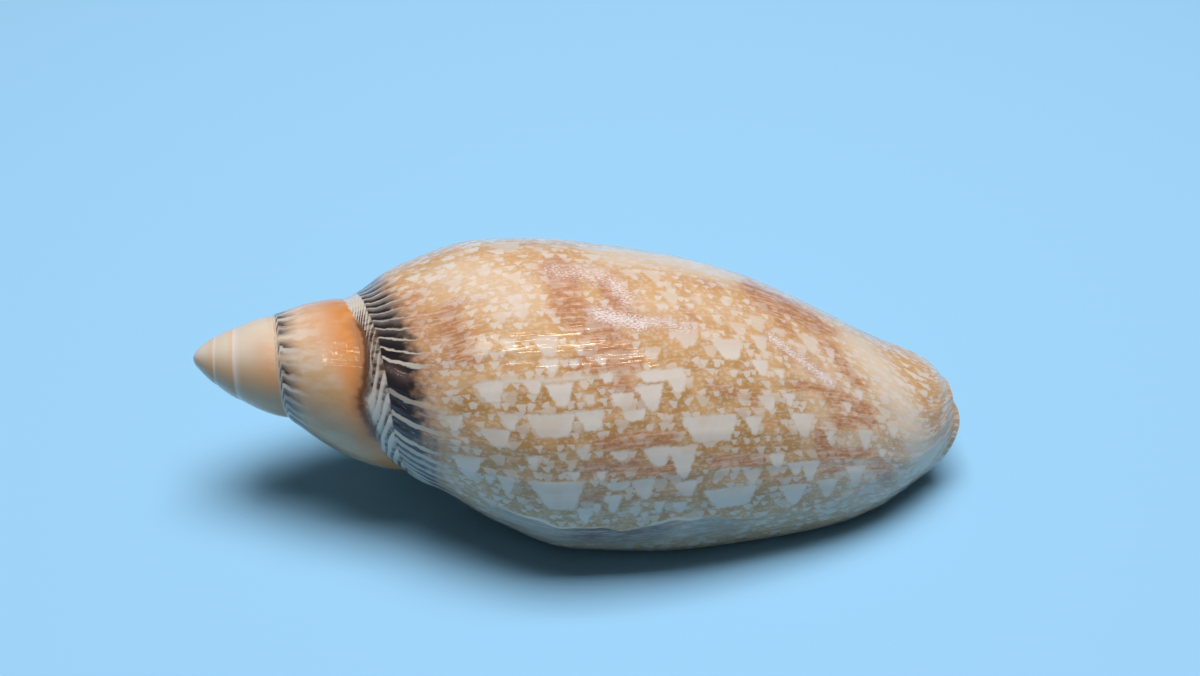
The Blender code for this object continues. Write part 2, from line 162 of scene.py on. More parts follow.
# brown zones: mm along the axis and of growth at both ends, half width in mm, and strength
BROWN = ((41.5, -43.5, 43, -38.5, 2.6, 0.85), (42.5, -38, 45.5, -35, 2.4, 1),
    (47, -40.5, 50.2, -35.5, 1.3, 0.9), (45.5, -35, 48.5, -31, 3, 0.95),
    (44, -30.8, 51, -30.2, 1.1, 1), (48.5, -30.5, 50, -27.3, 2, 0.7),
    (47.5, -22, 56, -21.8, 1.2, 0.9), (46.5, -19.2, 52, -19, 1.6, 0.75),
    (54, -18.3, 56.5, -18.2, 1.2, 0.95), (61, -18.6, 67, -18.2, 1.1, 0.8),
    (47.3, -15.5, 48.6, -15.6, 1, 0.8), (53, -14.8, 58, -14.8, 0.8, 0.6),
    (29, -39, 31.5, -33.5, 2.3, 0.85), (31, -33.5, 33.5, -31, 1.2, 0.5),
    (36, -31, 38, -29.8, 0.9, 0.5), (66.5, -43.5, 68, -39.5, 2.8, 1),
    (69, -41.5, 74, -38.6, 3, 1), (68.5, -37, 70.5, -35, 1.6, 0.6),
    (74.8, -34.8, 78, -31, 1.6, 0.75), (77.5, -31, 79, -29.3, 1.7, 0.8),
    (70.5, -27.5, 76, -27.2, 0.8, 0.8), (75.5, -26.5, 80.5, -25, 1.8, 0.85),
    (76.8, -22.8, 80.8, -23.4, 1.6, 0.9), (74.2, -21, 75.2, -17.8, 1.2, 1),
    (75.2, -18, 80.5, -18.4, 1.1, 0.9), (75.5, -15.2, 79, -16.4, 0.8, 0.9),
    (82.5, -16.5, 85.5, -11.5, 1.6, 0.8), (60, -27.2, 66, -25.2, 1, 0.6),
    (57, -41.6, 61, -40.8, 1.4, 0.5), (56.3, -36.6, 58, -35, 0.9, 0.6),
    (57.6, -10.2, 59.8, -10, 0.9, 1), (30, -79, 45, -66, 4.2, 0.9), (58, -72, 73, -60, 4.4, 0.9),
    (34, -99, 44, -90, 4, 0.7), (76, -58, 84, -46, 3, 0.8))
# scuffed patches: mm along the axis and of growth at both ends, half width, and strength
WEAR = ((46.3, -36.3, 51.5, -34.7, 1.2, 1.1), (48, -40.8, 49.8, -38, 1.4, 0.9),
    (41, -43, 47, -41.6, 2.2, 0.7), (28.5, -41, 33, -39.6, 0.5, 0.55),
    (67.3, -33.9, 75.2, -28.4, 0.9, 0.95), (52.5, -35, 57, -34, 1.1, 0.75),
    (23.2, -31.9, 25, -30.4, 0.8, 0.38))
# paler ground, in the same way
PALE = ((29, -46, 37, -39, 4.5, 0.55), (49, -47, 62, -45, 4, 0.8), (80, -38, 87, -24, 4, 0.85),
    (86, -26, 91, -14, 3, 0.9), (76, -28, 83, -12, 9, 0.5), (27, -30, 30, -22, 3, 0.4),
    (52, -37, 62, -37, 3, 0.35))
# brown patches in the smooth band along the lip, in the same way
LIP_BROWN = ((48.5, -9.5, 56, -9, 2.6, 1.25), (62.5, -8, 66, -8, 2, 0.5),
    (80, -8, 86, -10, 2.5, 0.6))

# ---- mesh --------------------------------------------------------------------------------
COLUMNS = 260               # columns of points in each turn
HOLLOW_COLUMNS = 100        # and in each turn of the hollow
DEEP_COLUMNS = 16           # columns of the part of the hollow that can't be seen
WHORL_ROWS = 26             # rows of a spire whorl, closest together beside its suture
LOWER_ROWS = 110            # rows of the rest of the last whorl
CORNER_ROWS = 7             # rows of the lip, next to the suture, that have no hollow behind
EDGE_ROWS = 6               # points across the rounded lip, besides its two ends
TIP_RINGS = 7               # rings of the apex and of the columella's tip
WELD = 1e-8                 # metres within which two points are one
ROUNDING = 1e-9             # turns that rounding may be out by
SHARP = math.radians(60)    # faces that meet at more than this aren't shaded smooth

# the marks that the skin carries for its pattern, three to a group:
# coil: mm along the axis, mm of growth (0 at the lip), and 0 outside to 2 inside
# dash: number of the crimp, place across the dash (0 at the callus's crest, 1 at the
#       dash's end, -1 at the suture), and strength of the pale line nearest to it
# suture: strength of the callus and dashes, how dark the dashes are, and the brown stain
# tint: brown zones, amber on the spire, and wear
# bands: mm past the ridge at the lip, the glaze beside the mouth, and the pale apex
# ground: paler ground, the line where growth stood still, and where tents are listed
# callus: where it is darker, where it is plain, and where the dashes are blurred
# lip: how pale the ridge is, how strong the band beside it, and its brown patches
# tent, tent_next: mm inside two tents' flanks and straight side
# feet: mm inside their feet, and mm from the callus's edge on the whorl before it
# brim: where the pale lines are thick, where the spire is reddened by the callus, and
#       the first whorls' sutures
MARKS = {
    "coil": "u v inside", "dash": "crimp across line", "suture": "shown bold stain",
    "tint": "brown amber wear", "bands": "past glaze apex", "ground": "pale rested listed",
    "callus": "dim broad blurred", "lip": "ridge band lip_brown",
    "tent": "near far straight", "tent_next": "near2 far2 straight2",
    "feet": "foot foot2 lap", "brim": "thick reddened young"}

# ---- the stage ---------------------------------------------------------------------------
FLOOR = ((-2, -1), (2, -1), (2, 3), (-2, 3))
# a wide soft light overhead, and a narrow one that alone is mirrored in the gloss: sides,
# colour, place, tilt, and whether it is mirrored
LIGHTS = {
    "softbox": ((0.40, 0.30), "#f8faff", (0.02, 0.035, 0.62), (-0.056, 0.032, 0.0), False),
    "strip": ((0.80, 0.018), "#ffe9cc", (-0.08, -0.195, 0.74), (0.25, 0.0, 0.2), True)}
CAMERA_AT = (-0.0040, -0.1347, 0.1451)
CAMERA_AIM = (0.0028, 0.0263, 0.0)
LENS_MM = 45.0


# ---- small helpers -----------------------------------------------------------------------
def ramp(x, start, end):
    """0 up to start and 1 from end on, with the even slope 3x^2 - 2x^3 between."""
    x = np.clip((x - start) / (end - start), 0.0, 1.0)
    return x * x * (3.0 - 2.0 * x)


def rounded(x):
    """Quarter circle: 0 at 0, 1 from 1 on, upright at its start."""
    return np.sqrt(1.0 - (1.0 - np.clip(x, 0.0, 1.0)) ** 2)


def bell(x, middle, width):
    """exp(-d^2), where d is the distance from the middle in widths."""
    return np.exp(-((x - middle) / width) ** 2)


def blend(one, other, share):
    """one for a share of 0, other for a share of 1, in proportion between."""
    return one + (other - one) * share


def curve(points, x):
    """Smooth curve through the points that never overshoots them: a cubic in each step,
    level where the slope turns, and otherwise with the harmonic mean of both slopes."""
    px, py = (np.array(column, float) for column in zip(*points))
    step = np.diff(px)
    slope = np.diff(py) / step
    turned = slope[:-1] * slope[1:] <= 0
    with np.errstate(divide="ignore", invalid="ignore"):
        inner = 2.0 / (1.0 / slope[:-1] + 1.0 / slope[1:])
    tangent = np.concatenate(([slope[0]], np.where(turned, 0.0, inner), [slope[-1]]))
    x = np.clip(x, px[0], px[-1])
    i = np.clip(np.searchsorted(px, x, side="right") - 1, 0, len(step) - 1)
    u = (x - px[i]) / step[i]
    rise = step[i] * ((u ** 3 - 2 * u ** 2 + u) * tangent[i] + (u ** 3 - u ** 2) * tangent[i + 1])
    return py[i] + (3 * u ** 2 - 2 * u ** 3) * (py[i + 1] - py[i]) + rise


def placed(name, data):
    """An object of that name, put in the scene."""
    obj = bpy.data.objects.new(name, data)
    bpy.context.collection.objects.link(obj)
    return obj


# ---- the coil ----------------------------------------------------------------------------
def suture(turn):
    """Station of the suture at this turn: it grows by the same factor in each turn, and
    drops further, by an exponential, in its last few millimetres."""
    drop = PLUNGE * np.exp(np.minimum(turn, 0.0) / PLUNGE_TURNS)
    return SUTURE_AT_LIP * GROWTH ** turn + drop


def suture_radius(station):
    """Distance of the suture from the axis: a power of its station, cut deeper by a bell
    where the last whorl but one begins to swell."""
    even = 0.112 * ((np.maximum(station, 0.0) + 0.002) / 0.252) ** 0.60
    return even * (1.0 - 0.11 * bell(station, 0.128, 0.018))


def angle_at(turn, station):
    """Degrees round the axis, 0 to the front and 90 up: the lip's angle, less a full circle
    for each turn, as the shell coils to the right."""
    return curve(LIP_ANGLES, station) - 360.0 * turn


def whorl_radius(turn, station):
    """A spire whorl: down to its next suture a straight line with a lopsided parabola on it,
    then on inwards to the columella's pillar by the square of a parabola."""
    top, bottom = suture(turn), suture(turn + 1.0)
    v = (station - top) / (bottom - top)
    swell = blend(WHORL_BULGE, LAST_WHORL_BULGE, ramp(turn, -1.6, -1.1))
    bulge = swell * (bottom - top) * 4.0 * v * (1.0 - v) * (0.8 + 0.4 * v)
    outside = blend(suture_radius(top), suture_radius(bottom), v) + bulge
    inward = np.clip((station - bottom) / (PILLAR_LENGTH * bottom), 0.0, 1.0)
    pillar = blend(PILLAR, PILLAR_TIP, ramp(station, 0.80, 1.0))
    pillar = pillar * GROWTH ** (0.5 * np.minimum(turn + 1.4, 0.0))
    inside = blend(pillar, suture_radius(bottom), (1.0 - inward ** 2) ** 2)
    return np.where(v < 1.0, outside, inside)


def folds(turn, station):
    """The columella's folds: oblique cords, bells along the axis whose middles move with the
    turn, that fade out before the outside is reached."""
    shown = ramp(turn, -1.55, -1.40) * ramp(turn, -0.86, -0.93)
    height = sum(bell(station, fold + FOLD_SLOPE * (turn + 1.0), FOLD_WIDTH) for fold in FOLDS)
    return FOLD_HEIGHT * shown * height


def radius_at(turn, station):
    """Distance from the axis to the plain outside of the shell: the spire's whorl, blended
    as the turns go by into the outline underneath, the one of the back and the one at the
    lip, all of them drawn in to the suture's radius at the suture; and the folds."""
    turn, station = np.broadcast_arrays(np.asarray(turn, float), np.asarray(station, float))
    top = suture(turn)
    s = (station - top) / (1.0 - top)
    last = blend(curve(UNDER_OUTLINE, s), curve(BACK_OUTLINE, s), ramp(turn, -0.75, -0.5))
    last = blend(last, curve(LIP_OUTLINE, s), ramp(turn, -0.5, 0.0))
    last = blend(last, suture_radius(top), np.clip(1.0 - s / 0.06, 0.0, 1.0) ** 2)
    early = whorl_radius(turn, station)
    return blend(early, last, ramp(turn, -1.0, -0.74)) + folds(turn, station)


def place(turn, station, radius, length):
    """Points in metres, in the shell's own axes: X along the axis, Z up."""
    turn, station, radius = np.broadcast_arrays(turn, station, radius)
    angle = np.radians(angle_at(turn, station))
    points = np.stack([station, -radius * np.cos(angle), radius * np.sin(angle)], axis=-1)
    return length * points


def edge(turn):
    """Station of the anterior edge at each turn of the last whorl."""
    return curve(EDGE, turn)


# ---- surface detail ----------------------------------------------------------------------
def callus_width(turn):
    """Width of the crimped callus at a suture, in mm: a curve on the last whorl, and before
    it only a thread that grows a little faster than the shell."""
    thread = THREAD_MM * GROWTH ** (1.3 * np.minimum(turn + 0.75, 0.0))
    return blend(thread, curve(CALLUS, turn), ramp(turn, -0.95, -0.75))


def crimp_count(turn, from_suture):
    """Number of the crimp that a point lies on.

    The count is a power with the coil's own growth, so that crimps keep their pitch as the
    shell grows.  Each crimp has its bend on the callus's crest: inside it runs on steeply
    towards the lip, outside it only curves that way for a millimetre or two."""
    over = from_suture / callus_width(turn)
    inside = LEAN_OF_CRIMPS * np.clip(1.0 - over, 0.0, 2.0) ** 1.2
    outside = 1.0 - np.exp(-np.maximum(over - 1.0, 0.0) / 0.6)
    outside = outside * (0.016 + 0.014 * bell(turn, -0.46, 0.06))
    bend = (inside + outside) * GROWTH ** (0.4 * turn)
    return CRIMPS_A_TURN / math.log(GROWTH) * GROWTH ** (turn - bend)


def ridge_turn(station):
    """Turn of the last growth ridge: its curve, with two sine waves for its scallops."""
    scallops = 0.0022 * np.sin(82.0 * station) + 0.0012 * np.sin(151.0 * station)
    return curve(RIDGE, station) + scallops


def relief(turn, station):
    """Height over the plain outside, in mm.

    Sum of: the callus, x * exp(1 - x^2) across its width; the crimps, cosines of the crimp's
    number that are strongest on its crest, and of a quarter of it for its folds; growth
    lines, sines along the growth; the step where growth stood still, a bell and a lower one
    upside down; and the ridge at the lip, a bell with a lower band behind it."""
    from_suture = LENGTH_MM * (station - suture(turn))
    width = callus_width(turn)
    number = 2.0 * math.pi * crimp_count(turn, from_suture)
    over = np.clip(from_suture / width, 0.0, 3.0)
    callus = CALLUS_RISE * over * np.exp(1.0 - over ** 2)
    crimps = CRIMP_RISE * np.cos(number) * bell(over, 1.25, 0.5) * ramp(over, 0.7, 1.0)
    crimps = crimps + FOLD_RISE * np.cos(number / 4.0) * bell(over, 0.45, 0.4)
    callus = width * (callus + crimps) * ramp(turn, -2.1, -1.6)
    arc = TURN_MM * turn
    lines = 0.022 * np.sin(1.31 * arc + 1.4 * np.sin(0.37 * arc)) + 0.016 * np.sin(2.9 * arc + 2.0)
    lines = lines * ramp(from_suture, 0.0, 4.0) * ramp(turn, -0.93, -0.87)
    past = TURN_MM * (turn - ridge_turn(station))
    ridge = RIDGE_RISE * bell(past, 0.0, 0.5) - BAND_DROP * ramp(past, 0.0, 0.5)
    ridge = ridge * ramp(station, 0.36, 0.42) * ramp(turn, -0.5, -0.4)
    ridge = ridge * (1.0 - 0.6 * ramp(station, 0.70, 0.78))
    rested = TURN_MM * (turn - REST_LINE)
    step = 0.05 * bell(rested, -0.35, 0.45) - 0.04 * bell(rested, 0.4, 0.5)
    step = step * ramp(station, 0.31, 0.34) * ramp(station, 0.75, 0.55)
    return (callus + lines + ridge + step) * ramp(turn, 0.0, -0.02)


def skin_radius(turn, station):
    """Distance from the axis to the outside with its relief."""
    turn, station = np.broadcast_arrays(np.asarray(turn, float), np.asarray(station, float))
    return radius_at(turn, station) + relief(turn, station) / LENGTH_MM


# ---- the mesh ----------------------------------------------------------------------------
def corners_of(grid):
    """The four corners of each cell in a grid of point numbers, in the order round it."""
    return grid[:-1, :-1], grid[1:, :-1], grid[1:, 1:], grid[:-1, 1:]


class Skin:
    """Collects points, their place on the coil, and faces between them."""

    def __init__(self, length):
        self.length = length
        self.points, self.coil, self.faces = [], [], []

    def add(self, turn, station, radius, inside=0.0):
        """Adds a grid of points, given by turn, station and radius; returns their numbers."""
        turn, station, radius = np.broadcast_arrays(turn, station, radius)
        points = place(turn, station, radius, self.length)
        return self.add_points(points, turn, station, inside)

    def add_points(self, points, turn, station, inside):
        """Adds points in metres, with their place on the coil; returns their numbers."""
        turn, station, inside = np.broadcast_arrays(turn, station, inside)
        first = sum(len(block) for block in self.points)
        self.points.append(points.reshape(-1, 3))
        self.coil.append(np.stack([turn, station, inside], axis=-1).reshape(-1, 3))
        return first + np.arange(points[..., 0].size).reshape(points.shape[:-1])

    def quads(self, grid):
        """Faces between the neighbours of a grid of point numbers."""
        self.faces.append(np.stack(corners_of(grid), axis=-1).reshape(-1, 4))

    def split_quads(self, grid):
        """Triangles in place of quads, cut towards the two corners where the grid starts."""
        half = grid.shape[1] // 2
        a, b, c, d = corners_of(grid)
        for near, ring in ((np.s_[:, :half], (a, b, c, d)), (np.s_[:, half:], (b, c, d, a))):
            p, q, r, s = (corner[near] for corner in ring)
            for triangle in ([p, q, r], [p, r, s]):
                self.faces.append(np.stack(triangle, axis=-1).reshape(-1, 3))

    def zip(self, left, right, left_at, right_at):
        """Triangles between two lines of points.  Both lines' steps are put in the order of
        how far along they end, and each makes one triangle with the other line's last point."""
        left, right = np.asarray(left), np.asarray(right)
        order = np.argsort(np.concatenate([left_at[1:], right_at[1:]]), kind="stable")
        on_left = order < len(left) - 1
        i = np.cumsum(on_left) - on_left
        j = np.cumsum(~on_left) - ~on_left
        i_next, j_next = np.minimum(i + 1, len(left) - 1), np.minimum(j + 1, len(right) - 1)
        middle = np.where(on_left, left[i_next], right[j_next])
        self.faces.append(np.stack([left[i], middle, right[j]], axis=-1))

    def dome(self, loop, centre, rise, inside, power, even):
        """Closes a loop with rings that end at centre + rise, on a quarter ellipse for a power
        of 1 and on the more pointed half of a parabola for 2.  Each ring first has its rim
        evened out that many times, a point moving halfway to the middle of its neighbours."""
        rim = np.concatenate(self.points)[loop]
        turn, station, _ = np.concatenate(self.coil)[loop].T
        for k in range(1, TIP_RINGS + 1):
            lean = 0.5 * math.pi * k / (TIP_RINGS + 1)
            for _ in range(even):
                rim = 0.5 * rim + 0.25 * (np.roll(rim, 1, axis=0) + np.roll(rim, -1, axis=0))
                turn, station = 0.0 * turn + turn.mean(), 0.0 * station + station.mean()
            points = centre + math.cos(lean) * (rim - centre) + math.sin(lean) ** power * rise
            ring = self.add_points(points, turn, station, inside)
            self.quads(np.array([loop + loop[:1], ring.tolist() + [ring[0]]]))
            loop = ring.tolist()
        top = self.add_points((centre + rise)[None], turn.mean(), station.mean(), inside)
        self.faces.append(np.stack([loop, np.roll(loop, -1), np.full(len(loop), top[0])], axis=-1))

    def welded(self):
        """Points and faces, with points in one place made one and faces without area dropped;
        and for each corner of each face the number of the point that it was made from.  A
        quad that loses one corner becomes a triangle."""
        points = np.concatenate(self.points)
        keys = np.round(points / WELD).astype(np.int64)
        _, keep, number = np.unique(keys, axis=0, return_index=True, return_inverse=True)
        number = number.reshape(-1)
        made = []
        for block in self.faces:
            ring = number[block]
            same = ring == np.roll(ring, 1, axis=1)
            lost = same.sum(axis=1)
            if block.shape[1] == 4:
                folded = (ring[:, 0] == ring[:, 2]) | (ring[:, 1] == ring[:, 3])
                lost[folded] = 4
                one = lost == 1
                made += [block[lost == 0], block[one][~same[one]].reshape(-1, 3)]
            else:
                made.append(block[lost == 0])
        corners = np.concatenate([block.ravel() for block in made])
        sides = np.concatenate([np.full(len(block), block.shape[1]) for block in made])
        faces = [face for block in made for face in number[block].tolist()]
        return points[keep], faces, corners, sides


def row_spread(rows):
    """Fractions from 0 to 1, closest together at 0: a power of even steps."""
    return np.linspace(0.0, 1.0, rows + 1) ** 1.5


def spire(skin):
    """Whorls from the apex to one turn before the lip, with a rounded cap on the apex."""
    columns = int(round((-1.0 - FIRST_TURN) * COLUMNS))
    turns = np.linspace(FIRST_TURN, -1.0, columns + 1)[:, None]
    stations = blend(suture(turns), suture(turns + 1.0), row_spread(WHORL_ROWS)[None, :])
    grid = skin.add(turns, stations, skin_radius(turns, stations))
    skin.quads(grid)
    loop = grid[:COLUMNS + 1, 0].tolist() + grid[0, WHORL_ROWS - 1:0:-1].tolist()
    along = np.array([skin.length, 0.0, 0.0])
    skin.dome(loop, suture(FIRST_TURN) * along, -APEX_CAP * along, 0.0, 2, 0)


def last_whorl(skin):
    """The outside of the last whorl, from the suture to the anterior edge."""
    turns = np.linspace(-1.0, 0.0, COLUMNS + 1)[:, None]
    top, bottom = suture(turns), edge(turns)
    share = (suture(0.0) - suture(-1.0)) / (edge(-1.0) - suture(-1.0))
    join = blend(top, bottom, share)
    w = np.linspace(0.0, 1.0, LOWER_ROWS + 1)[None, 1:]
    stations = np.concatenate([blend(top, join, row_spread(WHORL_ROWS)[None, :]),
                               blend(join, bottom, w)], axis=1)
    grid = skin.add(turns, stations, skin_radius(turns, stations))
    skin.quads(grid)
    return grid, turns[:, 0], stations


def hollow(skin, turns, start):
    """The hollow: the wall's inner side and, facing it, the whorl before and the columella.

    start holds the stations of its points at the mouth.  The two sheets share their edge
    wherever the hollow closes, by quarter circles, and part at the lip and along the
    anterior edge."""
    turns = turns[:, None]
    at_lip = turns > -ROUNDING
    w = ((start - start[0]) / (start[-1] - start[0]))[None, :]
    low = suture(turns) * blend(start[0] / suture(0.0), HOLLOW_LOW, ramp(turns, -0.1, -1.1))
    high = blend(EDGE[0][1], HOLLOW_HIGH * suture(turns + 1.0),
                 ramp(turns, CANAL_TURN, -MOUTH_TURNS))
    facing = blend(low, high, w)
    opening = ramp(turns, CANAL_TURN, CANAL_TURN + CANAL_OPENS)
    wall = facing + (edge(turns) - high) * opening * w ** 6
    pillar = np.where(at_lip, skin_radius(turns - 1.0, facing), radius_at(turns - 1.0, facing))
    before = radius_at(turns - 1.0, wall)
    space = radius_at(turns, wall) - before
    thickness = WALL * GROWTH ** (0.5 * np.minimum(turns + MOUTH_TURNS, 0.0))
    depth = rounded((turns + HOLLOW_TURNS) / 0.2) * rounded(w / 0.12)
    depth = depth * rounded((1.0 - w) / 0.2 + np.maximum(turns - CANAL_TURN, 0.0) / CANAL_OPENS)
    inner = before + depth * np.maximum(space - thickness, NARROWEST * space)
    inner = np.where(depth > 1e-6, inner, pillar)
    facing_grid = skin.add(turns - 1.0, facing, pillar, inside=np.where(at_lip, 0.0, 1.0))
    inner_grid = skin.add(turns, wall, inner, inside=2.0)
    skin.split_quads(facing_grid)
    skin.split_quads(inner_grid)
    return facing_grid, inner_grid, wall[-1]


def rounded_edge(skin, inner, outer_points, inner_at, turns, stations, outer, outer_at):
    """Rounds the wall's free edge, from the suture down the lip and on to the columella:
    each cross-section is half an ellipse that stands out from the wall's two sides."""
    inner_points = np.concatenate(skin.points)[inner]
    across = 0.5 * (outer_points - inner_points)
    middle = inner_points + across
    out = np.cross(np.gradient(middle, axis=0), across)
    out /= np.maximum(np.linalg.norm(out, axis=1, keepdims=True), 1e-12)
    half = np.linalg.norm(across, axis=1, keepdims=True)
    half = np.minimum(half, 0.5 * skin.length * WALL)
    lines = []
    for part in np.arange(1, EDGE_ROWS + 1) / (EDGE_ROWS + 1):
        beta = math.pi * part
        ring = middle + math.cos(beta) * across + math.sin(beta) * half * out
        lines.append(skin.add_points(ring, turns, stations, 2.0 * part))
    skin.quads(np.array(lines + [inner]))
    skin.zip(outer, lines[0], outer_at, inner_at)
    return [int(line[-1]) for line in lines]


def shell_surface(length):
    """The whole skin: spire, last whorl, hollow, lip and the columella's tip."""
    skin = Skin(length)
    spire(skin)
    body, turns, stations = last_whorl(skin)
    mouth = WHORL_ROWS + CORNER_ROWS
    seen = np.linspace(-MOUTH_TURNS, 0.0, int(round(MOUTH_TURNS * HOLLOW_COLUMNS)) + 1)
    unseen = np.linspace(-HOLLOW_TURNS, -MOUTH_TURNS, DEEP_COLUMNS + 1)[:-1]
    facing, inner, lip = hollow(skin, np.concatenate([unseen, seen]), stations[0, mouth:])

    # the free edge: down the lip, then back over the anterior end to the columella
    over = np.arange(2, 2 + int(round(-CANAL_TURN * COLUMNS)))
    over_inner = np.arange(2, 2 + int(round(-CANAL_TURN * HOLLOW_COLUMNS)))
    back = seen[-over_inner]
    lip_at = np.concatenate([stations[0, WHORL_ROWS:mouth], lip])
    inner_line = np.concatenate([body[0, WHORL_ROWS:mouth], inner[-1], inner[-over_inner, -1]])
    outer_line = np.concatenate([body[-1], body[-over, -1]])
    edge_turns = np.concatenate([np.zeros(len(lip_at)), back])
    edge_stations = np.concatenate([lip_at, edge(back)])
    outer_points = place(edge_turns, edge_stations, radius_at(edge_turns, edge_stations), length)
    edge_points = rounded_edge(skin, inner_line, outer_points,
                               np.concatenate([lip_at, 1.0 - back]), edge_turns, edge_stations,
                               outer_line, np.concatenate([stations[-1], 1.0 - turns[-over]]))

    # the columella's tip: rings that close over it like a dome
    tip = np.flatnonzero(turns <= CANAL_TURN + ROUNDING)
    loop = body[tip, -1].tolist() + edge_points + facing[-over_inner[-1]:-1, -1].tolist()
    centre = np.concatenate(skin.points)[loop].mean(axis=0)
    skin.dome(loop, centre, np.array([TIP_RISE * length, 0.0, 0.0]), 1.0, 1, 3)
    return skin


def laid_down(points):
    """Turns the shell on to its mouth: a rotation about X, then one about Y."""
    roll, pitch = math.radians(ROLL), math.radians(PITCH)
    x, y, z = points.T
    y, z = y * math.cos(roll) - z * math.sin(roll), y * math.sin(roll) + z * math.cos(roll)
    x, z = x * math.cos(pitch) + z * math.sin(pitch), z * math.cos(pitch) - x * math.sin(pitch)
    return np.stack([x, y, z], axis=-1)


# ---- the marks of its pattern ------------------------------------------------------------
def zone(u, v, parts):
    """How far points lie in any of some soft zones: each is a bell across the distance from
    a straight line, given by its ends and half width in mm and its strength."""
    shown = np.zeros(len(u))
    for u_a, v_a, u_b, v_b, half, weight in parts:
        du, dv = u_b - u_a, v_b - v_a
        k = np.clip(((u - u_a) * du + (v - v_a) * dv) / (du * du + dv * dv), 0.0, 1.0)
        far = np.hypot(u - u_a - k * du, v - v_a - k * dv)
        shown = np.maximum(shown, weight * bell(far, 0.0, half))
    return shown


def all_tents():
    """The listed tents, and others like them on the rest of the last whorl: each is thrown
    at a place drawn by lot, and stays if no earlier one is in its way."""
    lot = np.random.default_rng(TENT_SEED)
    kept = np.array(TENTS)
    low_u, high_u, low_v, high_v = TENTS_ROUND
    for _ in range(TENT_THROWS):
        u, v = lot.uniform(30.0, 88.0), lot.uniform(-106.0, -8.0)
        width = 1.5 + 4.5 * lot.uniform() ** 2.6
        height = min(width * lot.uniform(0.5, 0.95), 3.8)
        if low_u < u < high_u and low_v < v < high_v:
            continue
        if v > TURN_MM * float(ridge_turn(u / LENGTH_MM)) - height:
            continue
        apart_u = np.abs(kept[:, 0] - u) - 0.5 * (kept[:, 2] + width)
        apart_v = np.abs(kept[:, 1] + 0.5 * kept[:, 3] - v - 0.5 * height)
        apart_v = apart_v - 0.5 * (kept[:, 3] + height)
        if np.all(np.maximum(apart_u, apart_v) > TENT_GAP):
            kept = np.vstack([kept, (u, v, width, height)])
    return kept


def tent_sides(u, v, tent):
    """Depth inside a tent's four sides, in mm: its straight side lies across the growth at
    the older end, one flank slopes in at about 50 degrees and the other at about 80, and
    its foot is cut short."""
    across, along = u - tent[..., 0], v - tent[..., 1]
    slope = 0.62 * np.minimum(tent[..., 2] / tent[..., 3], 1.25)
    near = 0.76 * (across + 0.5 * tent[..., 2] - slope * along)
    far = 0.97 * (0.5 * tent[..., 2] - across - 0.17 * along)
    return np.stack([near, far, along, tent[..., 3] - along], axis=-1)


def face_mean(values, sides):
    """The mean of the values at each face's corners."""
    return np.add.reduceat(values, np.concatenate([[0], np.cumsum(sides)[:-1]])) / sides


def tent_marks(u, v, sides):
    """For each face's corners, the depths inside the two tents that hold most of the face."""
    tents = all_tents()
    face_u, face_v = face_mean(u, sides), face_mean(v, sides)
    best = np.full((2, len(sides)), -1e3)
    owner = np.zeros((2, len(sides)), int)
    for k, tent in enumerate(tents):
        depth = tent_sides(face_u, face_v, tent).min(axis=-1)
        ahead = depth > best[0]
        best[1] = np.where(ahead, best[0], np.maximum(best[1], depth))
        owner[1] = np.where(ahead, owner[0], np.where(depth >= best[1], k, owner[1]))
        owner[0] = np.where(ahead, k, owner[0])
        best[0] = np.where(ahead, depth, best[0])
    face = np.repeat(np.arange(len(sides)), sides)
    return [np.clip(tent_sides(u, v, tents[held[face]]), -FAR, FAR) for held in owner]


